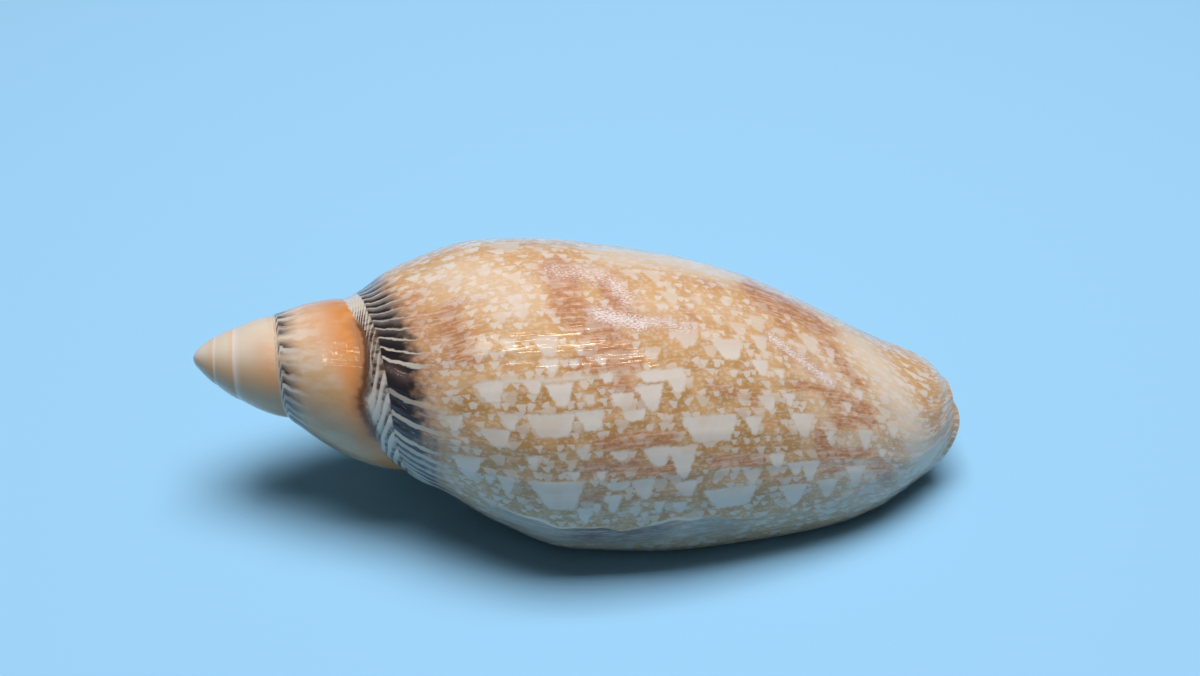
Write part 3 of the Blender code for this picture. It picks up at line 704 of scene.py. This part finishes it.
def coil_marks(coil, sides):
    """The marks at each corner of the skin's faces, in the groups of MARKS.  Most are ramps
    and bells along the turns, the stations or a distance in mm, multiplied together."""
    turn, station, inside = coil.T
    u, v = LENGTH_MM * station, TURN_MM * turn
    from_suture = LENGTH_MM * (station - suture(turn))
    to_next = LENGTH_MM * (suture(np.minimum(turn + 1.0, 0.0)) - station)
    before = turn < -0.999      # on the whorls before the last
    next_turn = np.where(before, turn + 1.0, turn)
    # the callus laps over the whorl before it in places
    lapped = before & np.repeat(face_mean(to_next, sides) < 1.5, sides)
    at = np.where(lapped, next_turn, turn)
    from_line = np.where(lapped, -to_next, from_suture)
    width = callus_width(at)
    length = DASH_MM * GROWTH ** (1.1 * turn) * (1.0 - 0.3 * bell(turn, -0.47, 0.08))
    across = np.where(from_line < width, from_line / width - 1.0,
                      np.minimum((from_line - width) / length, FAR))
    crimp = crimp_count(at, from_line)
    # the pale lines' strengths, as uneven as sines of large angles, and 0 where dashes merged
    nearest = np.round(crimp)
    line = np.where(at < -0.9, 0.4 + 0.6 * np.sin(7.31 * nearest + 0.4) ** 2,
                    0.6 + 0.4 * np.sin(12.9898 * nearest + 1.3) ** 2)
    merged = np.round(crimp_count(np.array(MERGED), callus_width(np.array(MERGED))))
    line = np.where(np.isin(nearest, merged), 0.0, line)
    gaps = np.maximum(bell(at, -1.356, 0.013), bell(at, -1.299, 0.012))
    blurred = ramp(at, -0.9, -1.0)
    broad = np.maximum(bell(at, -0.46, 0.05), bell(at, -0.215, 0.035) * bell(across, -0.9, 0.5))
    past_lap = np.where(before, -to_next, from_suture) - curve(LAP, next_turn)
    shaded = ramp(next_turn, -0.42, -0.36) * ramp(next_turn, -0.1, -0.18)
    stain = bell(past_lap, 0.0, 0.38 + 0.36 * ramp(next_turn, -0.31, -0.25)) * shaded
    beside_dashes = bell(from_suture, 6.8, 3.2) * ramp(turn, -0.44, -0.39) * ramp(turn, -0.2, -0.3)
    amber = bell(to_next, 0.8, 1.8 + 2.4 * ramp(turn, -1.24, -1.32)) * ramp(turn, -1.9, -1.5)
    at_apex = 0.55 * bell(to_next, 0.5, 2.0) * ramp(turn, -2.42, -2.30) * ramp(turn, -2.13, -2.27)
    at_apex = np.maximum(at_apex, 0.22 * bell(to_next, 0.3, 0.4))
    past = np.clip(TURN_MM * (turn - ridge_turn(station)), -FAR, FAR)
    past = np.where(turn > -0.6, past, -FAR)
    band = ramp(station, 0.345, 0.415) * (1.0 - 0.75 * ramp(station, 0.64, 0.76))
    band = band * (1.0 - 0.65 * ramp(past, 3.2, 7.2))
    band = band * (1.0 - 0.8 * bell(u, 58.7, 1.7) * bell(past, 0.5, 1.1))
    rested = bell(v, TURN_MM * REST_LINE, 0.17)
    _, _, low_v, high_v = TENTS_ROUND
    listed = ramp(v, low_v, low_v + 3.0) * ramp(v, high_v + 3.0, high_v) * ramp(u, 86.0, 80.0)
    values = {
        "u": u, "v": v, "inside": inside, "crimp": crimp, "across": across, "line": line,
        "shown": ramp(at, -2.0, -1.6) * (1.0 - 0.85 * gaps), "bold": ramp(at, -0.42, -0.31),
        "stain": stain, "brown": np.maximum(zone(u, v, BROWN), 0.6 * beside_dashes),
        "amber": np.where(turn > -1.0, 1.0, np.where(turn > -2.0, amber, at_apex)),
        "wear": zone(u, v, WEAR), "past": past,
        "glaze": ramp(turn, -0.86, -0.93) * ramp(turn, -1.02, -1.01) * ramp(station, 0.26, 0.34),
        "apex": ramp(turn, -1.75, -2.25), "pale": zone(u, v, PALE),
        "rested": rested * ramp(station, 0.345, 0.365) * ramp(station, 0.56, 0.46),
        "listed": listed, "dim": bell(at, -0.335, 0.06), "broad": np.maximum(broad, blurred),
        "blurred": blurred, "band": band, "lip_brown": zone(u, v, LIP_BROWN),
        "ridge": np.maximum(bell(station, 0.445, 0.05), bell(station, 0.615, 0.035)),
        "thick": ramp(at, -0.315, -0.285), "reddened": bell(past_lap, -0.3, 1.1) * shaded,
        "young": ramp(at, -1.75, -2.05), "lap": from_line - curve(LAP, at)}
    for names, depths in zip(("near far straight foot", "near2 far2 straight2 foot2"),
                             tent_marks(u, v, sides)):
        values.update(zip(names.split(), depths.T))
    return {group: np.stack([values[name] for name in names.split()], axis=-1)
            for group, names in MARKS.items()}


def shell_object(length):
    """The skin as a mesh that lies where the solid does, with its marks on the corners."""
    skin = shell_surface(length)
    points, faces, corners, sides = skin.welded()
    points = laid_down(points)
    low, high = points.min(axis=0), points.max(axis=0)
    points += 0.5 * (CAD_LOW + CAD_HIGH) - 0.5 * (low + high)
    points[:, 2] += CAD_LOW[2] - points[:, 2].min()
    mesh = bpy.data.meshes.new("shell_skin")
    mesh.from_pydata(points.tolist(), [], faces)
    for group, values in coil_marks(np.concatenate(skin.coil)[corners], sides).items():
        layer = mesh.attributes.new(group, "FLOAT_VECTOR", "CORNER")
        layer.data.foreach_set("vector", values.astype(np.float32).ravel())
    solid = bmesh.new()
    solid.from_mesh(mesh)
    bmesh.ops.recalc_face_normals(solid, faces=solid.faces)
    solid.to_mesh(mesh)
    solid.free()
    mesh.shade_smooth()
    mesh.set_sharp_from_angle(angle=SHARP)
    return placed("volute_shell", mesh)


# ---- materials ---------------------------------------------------------------------------
def linear(code):
    """A '#rrggbb' sRGB colour as linear red, green, blue, alpha."""
    parts = np.array([int(code[i:i + 2], 16) for i in (1, 3, 5)]) / 255.0
    parts = np.where(parts <= 0.04045, parts / 12.92, ((parts + 0.055) / 1.055) ** 2.4)
    return (*parts.tolist(), 1.0)


def fill(tree, node, inputs):
    """Gives a node's inputs their values, or links them from sockets."""
    for socket, value in inputs.items():
        if isinstance(value, bpy.types.NodeSocket):
            tree.links.new(value, node.inputs[socket])
        else:
            node.inputs[socket].default_value = value


def add_node(tree, kind, inputs=(), out=0, **settings):
    """Adds a node with its settings.  inputs holds values, or sockets to link from, in the
    order of the node's own sockets or by their numbers.  Returns one output, or all."""
    node = tree.nodes.new("ShaderNode" + kind)
    for name, value in settings.items():
        setattr(node, name, value)
    fill(tree, node, inputs if isinstance(inputs, dict) else dict(enumerate(inputs)))
    return node.outputs if out is None else node.outputs[out]


def new_material(name):
    """A material, its tree of nodes, and the node of its surface."""
    material = bpy.data.materials.new(name)
    material.use_nodes = True
    return material, material.node_tree, material.node_tree.nodes["Principled BSDF"]


# settings that many nodes share
SOFT = {"interpolation_type": "SMOOTHSTEP"}
COLOUR = {"out": 2, "data_type": "RGBA"}
PLUS, LESS, TIMES, TIMES_PLUS, PART, LEAST, MOST = (
    {"operation": name} for name in
    ("ADD", "SUBTRACT", "MULTIPLY", "MULTIPLY_ADD", "FRACT", "SMOOTH_MIN", "MAXIMUM"))
NOISES = {      # cells in a mm along the axis and of growth, detail and roughness
    "cloud": (0.35, 0.35, 3.0, 0.5),    # patches 3 mm across
    "fray": (0.8, 0.8, 3.0, 0.5),       # ragged edges, 1 mm
    "blotch": (0.55, 0.7, 1.0, 0.5),    # blots on the spire
    "lobe": (0.30, 0.10, 1.0, 0.5),     # waves of the callus's sheets
    "streak": (0.36, 2.3, 3.0, 0.65),   # 0.4 mm wide, 3 mm long
    "line": (0.13, 3.6, 1.0, 0.5),      # growth lines that break the highlight
    "scuff": (2.4, 6.5, 4.0, 0.75)}     # flecks


def layered(node, colour, *layers):
    """Lays colours over the first one, each by its share: the product of its factors."""
    for *factors, over in layers:
        share = factors[0]
        for factor in factors[1:]:
            share = node("Math", (share, factor), **TIMES)
        colour = node("Mix", {0: share, 6: colour, 7: over}, **COLOUR)
    return colour


def shell_marks(node):
    """The skin's marks, as sockets."""
    marks = {}
    for group, names in MARKS.items():
        mark = node("Attribute", out=1, attribute_name=group)
        marks.update(zip(names.split(), node("SeparateXYZ", (mark,), out=None)))
    return marks


def shell_noises(node, plain):
    """Noises in mm of the shell's surface: patches, and streaks along the growing edge.

    The finest streaks of a real shell are a tenth of a millimetre wide and less; these are
    coarser, so that they show."""
    made = {}
    for name, (u, v, detail, roughness) in NOISES.items():
        at = node("VectorMath", (plain, (u, v, 0.0)), **TIMES)
        made[name] = node("TexNoise", {"Vector": at, "Scale": 1.0, "Detail": detail,
                                       "Roughness": roughness}, noise_dimensions="2D")
    return made


def small_tents(node, place, cell, height, share, shift):
    """One size of small tents, 1 inside and 0 outside.

    The surface is cut into irregular cells, cell mm wide and height times as tall.  share
    of them hold a tent: the least of its depths inside the straight side, the two flanks,
    one steeper than the other, and the foot, in a size drawn by lot for each cell."""
    q = node("VectorMath", (place, (1.0 / cell, 1.0 / (cell * height), 0.0), shift), **TIMES_PLUS)
    cells = node("TexVoronoi", {"Vector": q, "Scale": 1.0, "Randomness": 0.85}, out=None,
                 voronoi_dimensions="2D")
    size, green, blue = node("SeparateXYZ", (cells["Color"],), out=None)
    size = node("Math", (1.0, node("MapRange", (size, 0.0, 1.0, 0.6, 1.15))), operation="DIVIDE")
    local = node("VectorMath", (q, cells["Position"]), **LESS)
    local = node("VectorMath", {0: local, 3: size}, operation="SCALE")
    x, y, _ = node("SeparateXYZ", (local,), out=None)
    down = node("Math", (y, 0.34), **PLUS)
    lean = node("MapRange", (blue, 0.0, 1.0, -0.5, 0.05))
    aside = node("Math", (y, lean, x), **TIMES_PLUS)
    aside = node("Math", (aside,), operation="ABSOLUTE")
    flank = node("Math", (node("Math", (down, -0.42, 0.46), **TIMES_PLUS), aside), **LESS)
    foot = node("Math", (0.74, down), **LESS)
    depth = node("Math", (down, flank, 0.12), **LEAST)
    depth = node("Math", (depth, foot), operation="MINIMUM")
    edge = 0.11 / cell      # its border blurs over 0.11 mm on each side
    depth = node("MapRange", (depth, -edge, edge), **SOFT)
    return node("Math", (depth, node("MapRange", (green, share, share - 0.02))), **TIMES)


def tent_cover(node, m, noise, plain):
    """Where cream tents cover the ground: the most of the marked ones and of three sizes of
    smaller ones.  A marked tent is the smooth least of the depths inside its four sides."""
    # the growing edge never ran quite straight: the pattern is bent a little, and it starts
    # afresh where growth stood still
    ripple = node("TexNoise", {"Vector": plain, "Scale": 1.5, "Detail": 3.0, "Roughness": 0.6},
                  out=1, noise_dimensions="2D")
    ripple = node("VectorMath", (ripple, (0.5, 0.5, 0.5)), **LESS)
    rested = TURN_MM * REST_LINE
    younger = node("MapRange", (m["v"], rested, rested + 0.05, 0.0, 37.0))
    bent = node("VectorMath", (ripple, (0.5, 0.5, 0.0), plain), **TIMES_PLUS)
    bent = node("VectorMath", (bent, node("CombineXYZ", (younger, 0.0, 0.0))), **PLUS)
    ripple = node("VectorMath", (ripple, (0.7, 0.5, 0.0)), **TIMES)
    off_u, off_v, _ = node("SeparateXYZ", (ripple,), out=None)
    large = []
    for mark in ("", "2"):
        pairs = []
        for one, other, off, corner in (("near", "far", off_u, 0.5),
                                        ("straight", "foot", off_v, 0.1)):
            pairs.append(node("Math", (node("Math", (m[one + mark], off), **PLUS),
                                       node("Math", (m[other + mark], off), **LESS), corner),
                              **LEAST))
        large.append(node("Math", (*pairs, 0.6), **LEAST))
    cover = node("MapRange", (node("Math", large, **MOST), -0.22, 0.18), **SOFT)
    # they are fainter in some places, and towards the part that faces up
    for fainter in ((noise["cloud"], 0.3, 0.6, 0.8, 1.0), (m["v"], -36.0, -29.0, 0.6, 1.0)):
        cover = node("Math", (cover, node("MapRange", fainter, **SOFT)), **TIMES)
    # the smaller ones are weaker in brown zones, and the largest of them where tents are listed
    for cell, height, share, shift, strength, in_brown, in_list in (
            (2.3, 0.8, 0.34, (5.7, 13.1, 0.0), 0.9, 0.5, 0.6),
            (1.35, 0.85, 0.62, (17.9, 4.3, 0.0), 0.72, 0.3, 1.0),
            (0.72, 0.75, 0.80, (23.3, 8.1, 0.0), 0.32, 0.15, 1.0)):
        some = small_tents(node, bent, cell, height, share, shift)
        fewer = node("MapRange", (m["brown"], 0.35, 0.8, strength, in_brown), **SOFT)
        listed = node("MapRange", (m["listed"], 0.0, 1.0, 1.0, in_list))
        some = node("Math", (node("Math", (some, fewer), **TIMES), listed), **TIMES)
        cover = node("Math", (cover, some), **MOST)
    return cover


def body_colour(node, m, noise, plain, paint):
    """The last whorl: cream tents over ochre ground, browner in the zones, and the smoother
    band along the lip with its pale ridge."""
    s = {name: node("MapRange", values, **SOFT) for name, values in {
        "patchy": (noise["cloud"], 0.35, 0.65),
        "above": (m["v"], -36.0, -27.0, 0.3, 1.0),
        "below": (m["v"], -30.0, -18.0, 0.0, 0.45),
        "pale": (m["pale"], 0.1, 0.9, 0.0, 0.75),
        "streaky": (noise["streak"], 0.35, 0.65),
        "sandy": (noise["streak"], 0.50, 0.75, 0.0, 0.35),
        "dull": (noise["streak"], 0.62, 0.35, 0.0, 0.1),
        "light": (noise["streak"], 0.4, 0.65, 0.0, 0.3),
        "band": (m["past"], -0.05, 0.35, 0.0, 0.85),
        "rising": (m["past"], -0.40, -0.1),
        "falling": (m["past"], 0.85, 0.15)}.items()}
    deeper = node("Math", (s["patchy"], s["above"], s["below"]), use_clamp=True, **TIMES_PLUS)
    brown = node("Math", (noise["cloud"], 0.6, m["brown"]), **TIMES_PLUS)
    brown = node("Math", (noise["streak"], 0.7, brown), **TIMES_PLUS)
    brown = node("MapRange", (brown, 0.85, 1.4), **SOFT)
    rust = layered(node, paint["deep_rust"], (s["streaky"], paint["rust"]))
    cream = layered(node, paint["cream"], (s["dull"], paint["sand"]))
    band = layered(node, paint["band"], (m["lip_brown"], paint["band_brown"]),
                   (s["light"], paint["cream"]))
    return layered(node, paint["ochre"], (deeper, paint["deep_ochre"]), (s["pale"], paint["sand"]),
                   (brown, rust), (s["sandy"], paint["sand"]),
                   (tent_cover(node, m, noise, plain), cream), (m["rested"], 0.85, paint["cream"]),
                   (s["band"], m["band"], band),
                   (s["rising"], s["falling"], m["ridge"], paint["sand"]))


def spire_colour(node, m, noise, paint):
    """The spire is plainer: tan with paler blots, paler at the apex, browner on the lower front
    of each whorl, partly its own olive-brown and partly painted shade, and amber by its
    suture; young whorls have a thin pale thread there."""
    side = node("Math", (node("Math", (m["v"], 1.0 / TURN_MM), **TIMES),), **PART)
    s = {name: node("MapRange", values, **SOFT) for name, values in {
        "patchy": (noise["cloud"], 0.35, 0.65), "blots": (noise["blotch"], 0.54, 0.66, 0.0, 0.5),
        # painted shade, partly the whorl's own olive-brown: deep ochre on the lower front of every
        # whorl, set by the fraction of its turn
        "from": (side, 0.66, 0.80, 0.0, 0.75), "to": (side, 1.0, 0.92),
        "cloud": (noise["cloud"], 0.25, 0.6, 0.7, 1.0),
        "over": (m["across"], 0.8, -0.6, 0.0, 0.5), "under": (m["across"], -2.0, -1.0)}.items()}
    return layered(node, paint["tan"], (s["patchy"], paint["sand"]), (s["blots"], paint["cream"]),
                   (m["apex"], paint["apex"]), (s["from"], s["to"], paint["deep_ochre"]),
                   (m["amber"], s["cloud"], paint["amber"]),
                   (s["over"], s["under"], m["young"], paint["wear"]))


def with_dashes(node, m, noise, colour, paint):
    """Dashes: dark between pale lines that follow the crimps, greyer at one side, ragged and
    brown at their far end; on the spire they are blurred."""
    number = node("Math", (noise["fray"], 0.4, m["crimp"]), **TIMES_PLUS)
    part = node("Math", (number,), **PART)
    off = node("Math", (node("Math", (part, 0.5), **LESS),), operation="ABSOLUTE")
    off = node("Math", (m["across"], -0.05, off), **TIMES_PLUS)
    off = node("Math", (m["thick"], 0.15, off), **TIMES_PLUS)
    end = node("Math", (noise["fray"], 0.9, m["across"]), **TIMES_PLUS)
    near = node("Math", (m["blurred"], 0.5, m["across"]), **TIMES_PLUS)
    s = {name: node("MapRange", values, **SOFT) for name, values in {
        "line": (off, 0.34, 0.45), "blurred_line": (off, 0.18, 0.40),
        "dash": (end, 1.9, 1.0), "blurred_dash": (end, 1.9, 0.4),
        "beyond": (near, -0.08, 0.0), "grey": (part, 0.75, 0.15),
        "fringe": (end, 2.3, 1.2)}.items()}
    line, dash = (node("Mix", {0: m["blurred"], 2: s[name], 3: s["blurred_" + name]})
                  for name in ("line", "dash"))
    beyond = node("Math", (s["beyond"], m["shown"]), **TIMES)
    fringe = node("Math", (s["fringe"], beyond), **TIMES)
    faded = node("Math", (1.0, m["bold"]), **LESS)
    black = layered(node, paint["dash"], (s["grey"], faded, paint["dash_grey"]),
                    (m["blurred"], 0.18, paint["groove"]))
    faint = node("MapRange", (m["blurred"], 0.0, 1.0, 0.6, 0.25))
    return layered(node, colour, (fringe, faint, paint["rust"]), (dash, beyond, black),
                   (line, m["line"], fringe, 0.9, paint["callus"]))


def callus_parts(node, m, noise, paint):
    """The callus: thin sheets laid one over another, each pale at its edge and brown below
    it.  Returns its colour, where it lies and how deep its grooves are."""
    wave = node("Math", (node("Math", (noise["lobe"], 0.5), **LESS), m["across"]), **TIMES)
    number = node("Math", (wave, 4.0, m["crimp"]), **TIMES_PLUS)
    pair = node("Math", (number, 0.5), **TIMES)
    sheet = node("Mix", {0: m["thick"], 2: node("Math", (number,), **PART),
                         3: node("Math", (pair,), **PART)})
    wider = node("Math", (m["dim"], 0.30, sheet), **TIMES_PLUS)
    wider = node("Math", (m["broad"], -0.30, wider), **TIMES_PLUS)
    groove = node("MapRange", (m["broad"], 0.2, 0.9, 1.0, 0.15))
    for limit in ((wider, 0.34, 0.72), (sheet, 0.99, 0.92),
                  (noise["fray"], 0.36, 0.62, 1.0, 0.45)):
        groove = node("Math", (groove, node("MapRange", limit, **SOFT)), **TIMES)
    edge = node("Math", (noise["fray"], 0.5, m["lap"]), **TIMES_PLUS)
    lies = node("MapRange", (m["blurred"], 0.0, 1.0, 1.0, 0.12))
    lies = node("Math", (lies, m["shown"]), **TIMES)
    for limit in ((m["across"], 0.01, -0.06), (edge, 0.08, 0.50), (m["inside"], 0.1, 0.0)):
        lies = node("Math", (lies, node("MapRange", limit, **SOFT)), **TIMES)
    dark = node("MapRange", (noise["fray"], 0.35, 0.65, 0.75, 0.25), **SOFT)
    below = node("MapRange", (sheet, 0.0, 0.5), **SOFT)
    callus = layered(node, paint["cream"], (below, paint["callus"]),
                     (m["dim"], dark, paint["groove"]), (groove, paint["groove"]))
    return callus, lies, groove


def shell_finish(paint):
    """Aragonite under a natural gloss: cream tents on a fine ochre net, brown zones, dark
    dashes beside the sutures, growth lines that break the highlight into streaks."""
    material, tree, surface = new_material("glossy_aragonite")
    node = functools.partial(add_node, tree)
    m = shell_marks(node)
    plain = node("CombineXYZ", (m["u"], m["v"], 0.0))
    noise = shell_noises(node, plain)

    # the spire, bare where the callus doesn't lap over it
    bare = node("Math", (node("MapRange", (m["v"], -TURN_MM * 0.99, -TURN_MM * 1.01)),
                         node("MapRange", (m["lap"], 0.1, -0.1), **SOFT)), **MOST)
    colour = layered(node, body_colour(node, m, noise, plain, paint),
                     (bare, spire_colour(node, m, noise, paint)))
    colour = with_dashes(node, m, noise, colour, paint)
    callus, on_callus, groove = callus_parts(node, m, noise, paint)
    reddened = node("Math", (noise["cloud"], 0.5, m["reddened"]), **TIMES_PLUS)
    stained = node("Math", (noise["fray"], 0.6, m["stain"]), **TIMES_PLUS)
    # the gloss is scuffed to flecks over duller ground
    worn = node("Math", (m["wear"], 0.28, noise["scuff"]), **TIMES_PLUS)
    worn = node("Math", (node("MapRange", (worn, 0.66, 0.86, 0.0, 0.88), **SOFT),
                         node("MapRange", (m["wear"], 0.1, 0.5), **SOFT)), **TIMES)
    # the glaze beside the mouth and the inside, in patches 4 mm across
    cloudy = node("TexNoise", {"Vector": node("TexCoord", out="Object"), "Scale": 250.0,
                               "Detail": 1.0})
    cloudy = node("MapRange", (cloudy, 0.3, 0.7), **SOFT)
    glow = layered(node, paint["mouth"], (cloudy, paint["tan"]))
    colour = layered(
        node, colour, (on_callus, callus),
        (node("MapRange", (reddened, 0.28, 1.1, 0.0, 0.9), **SOFT),
         node("Math", (1.0, on_callus), **LESS), paint["deep_rust"]),
        (node("MapRange", (stained, 0.42, 1.2, 0.0, 0.85), **SOFT), paint["groove"]),
        (m["wear"], 0.55, paint["dulled"]), (worn, paint["wear"]), (m["glaze"], 0.82, glow),
        (node("MapRange", (m["inside"], 0.25, 0.9), **SOFT), glow))

    # growth lines, and the grooves between the callus's sheets, which are deeper
    grooved = node("Math", (groove, node("Math", (on_callus, -3.5), **TIMES)), **TIMES)
    lined = node("Math", (grooved, noise["line"]), **PLUS)
    normal, coat_normal = (
        node("Bump", {"Height": height, "Strength": 1.0, "Distance": LINES_MM / 1000})
        for height in (grooved, lined))
    rough = node("MapRange", (noise["streak"], 0.3, 0.7, 0.30, 0.42))
    fill(tree, surface, {
        "Base Color": colour, "Normal": normal, "Coat Normal": coat_normal,
        "Roughness": node("Math", (worn, 0.3, rough), **TIMES_PLUS),
        "Coat Weight": node("MapRange", (m["wear"], 0.2, 0.9, 1.0, 0.3)),
        "Coat Roughness": 0.06, "Coat IOR": 1.52, "IOR": 1.53, "Specular IOR Level": 0.12,
        "Subsurface Weight": 0.12, "Subsurface Radius": (0.0012, 0.0007, 0.0004),
        "Subsurface Scale": 1.0})
    return material


def floor_finish(colour):
    """Matt painted board: even, with no gloss to mirror the shell."""
    material, tree, surface = new_material("painted_board")
    fill(tree, surface, {"Base Color": (*colour, 1.0), "Roughness": 0.75,
                         "Specular IOR Level": 0.2})
    return material


# ---- settings, operators and panel -------------------------------------------------------
def swatch(name, description, code):
    """One colour among the settings."""
    return bpy.props.FloatVectorProperty(name=name, description=description, subtype="COLOR",
                                         size=3, default=linear(code)[:3], min=0.0, max=1.0)


class ShellSettings(bpy.types.PropertyGroup):
    length: bpy.props.FloatProperty(
        name="Length", description="Apex to anterior end, along the axis",
        default=LENGTH_MM / 1000, min=0.01, unit="LENGTH")
    cream: swatch("Cream", "The tents", "#d5c8bb")
    ochre: swatch("Ochre", "The fine net between the tents", "#c99d6d")
    deep_ochre: swatch("Deep ochre", "The net where it is darker", "#b28550")
    sand: swatch("Sand", "Pale ground and streaks", "#dbc9b4")
    rust: swatch("Rust", "The brown zones", "#c28c64")
    deep_rust: swatch("Deep rust", "Streaks in the brown zones", "#a8744f")
    tan: swatch("Tan", "The spire", "#cfae8c")
    amber: swatch("Amber", "The spire's whorls towards their sutures", "#c8803f")
    apex: swatch("Apex", "The first whorls", "#d2c0ab")
    dash: swatch("Dashes", "The dark dashes beside the sutures", "#241d20")
    dash_grey: swatch("Grey dashes", "The paler side of some dashes", "#8a7f77")
    callus: swatch("Callus", "The crimped callus, and the lines between the dashes", "#cbbfae")
    groove: swatch("Grooves", "Lines in the callus, and the stain along the suture", "#4f3122")
    band: swatch("Band", "The smooth band along the lip", "#948b80")
    band_brown: swatch("Brown patches", "Patches in the band along the lip", "#473538")
    mouth: swatch("Mouth", "The glaze beside the mouth and the inside", "#e3c9ab")
    dulled: swatch("Dulled", "Ground where the gloss is worn off", "#b08a7c")
    wear: swatch("Wear", "Flecks where the gloss is worn off", "#e0d6d0")


class StageSettings(bpy.types.PropertyGroup):
    floor: swatch("Floor", "Colour of the floor", "#90bedb")
    softbox: bpy.props.FloatProperty(
        name="Softbox", description="Power of the light over the shell", default=5.5, unit="POWER")
    room: bpy.props.FloatProperty(
        name="Room", description="Strength of the even light of the room", default=0.09)
    strip: bpy.props.FloatProperty(
        name="Strip", description="Power of the narrow light that gives the gloss its streak",
        default=1.9, unit="POWER")


class SHELL_OT_shell(bpy.types.Operator):
    """Makes the shell in place of its plain solid"""
    bl_idname = "shell.make_shell"
    bl_label = "Shell"

    def execute(self, context):
        settings = context.scene.shell_settings
        shell = shell_object(settings.length)
        shell.data.materials.append(shell_finish({
            name: (*getattr(settings, name), 1.0)
            for name in ShellSettings.__annotations__ if name != "length"}))
        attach(shell, "root")
        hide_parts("shell")
        return {"FINISHED"}


class SHELL_OT_stage(bpy.types.Operator):
    """Makes the floor, the lights and the camera"""
    bl_idname = "shell.make_stage"
    bl_label = "Stage"

    def execute(self, context):
        settings = context.scene.stage_settings
        mesh = bpy.data.meshes.new("floor")
        mesh.from_pydata([(x, y, 0.0) for x, y in FLOOR], [], [(0, 1, 2, 3)])
        mesh.materials.append(floor_finish(settings.floor))
        floor = placed("floor", mesh)
        for name, (sides, code, place, tilt, mirrored) in LIGHTS.items():
            light = bpy.data.lights.new(name, "AREA")
            light.shape = "RECTANGLE"
            light.size, light.size_y = sides
            light.energy = getattr(settings, name)
            light.color = linear(code)[:3]
            lamp = placed(name, light)
            lamp.location = place
            lamp.rotation_euler = tilt
            lamp.visible_glossy = mirrored
            lamp.visible_diffuse = not mirrored
        world = bpy.data.worlds.new("room")
        context.scene.world = world
        world.use_nodes = True
        sky = world.node_tree.nodes["Background"]
        sky.inputs["Color"].default_value = linear("#e4eff6")
        sky.inputs["Strength"].default_value = settings.room
        context.scene.view_settings.view_transform = "Standard"
        lens = bpy.data.cameras.new("camera")
        lens.lens = LENS_MM
        lens.sensor_width = 36.0
        lens.clip_start = 0.01
        camera = placed("camera", lens)
        camera.location = CAMERA_AT
        aim = np.array(CAMERA_AIM) - np.array(CAMERA_AT)
        heading = math.atan2(-aim[0], aim[1])
        camera.rotation_euler = (math.atan2(math.hypot(aim[0], aim[1]), -aim[2]), 0.0, heading)
        context.scene.camera = camera
        return {"FINISHED"}


class SHELL_PT_panel(bpy.types.Panel):
    bl_idname = "SHELL_PT_panel"
    bl_label = "Volute shell"
    bl_space_type = "VIEW_3D"
    bl_region_type = "UI"
    bl_category = "Shell"

    def draw(self, context):
        for settings in (context.scene.shell_settings, context.scene.stage_settings):
            for name in settings.bl_rna.properties.keys():
                if name not in {"rna_type", "name"}:
                    self.layout.prop(settings, name)
        for operator in (SHELL_OT_shell, SHELL_OT_stage):
            self.layout.operator(operator.bl_idname)


CLASSES = (ShellSettings, StageSettings, SHELL_OT_shell, SHELL_OT_stage, SHELL_PT_panel)


def register():
    for item in CLASSES:
        bpy.utils.register_class(item)
    bpy.types.Scene.shell_settings = bpy.props.PointerProperty(type=ShellSettings)
    bpy.types.Scene.stage_settings = bpy.props.PointerProperty(type=StageSettings)


def unregister():
    del bpy.types.Scene.shell_settings
    del bpy.types.Scene.stage_settings
    for item in reversed(CLASSES):
        bpy.utils.unregister_class(item)


def main():
    register()
    bpy.ops.shell.make_stage()
    bpy.ops.shell.make_shell()


if __name__ == "__main__":
    main()
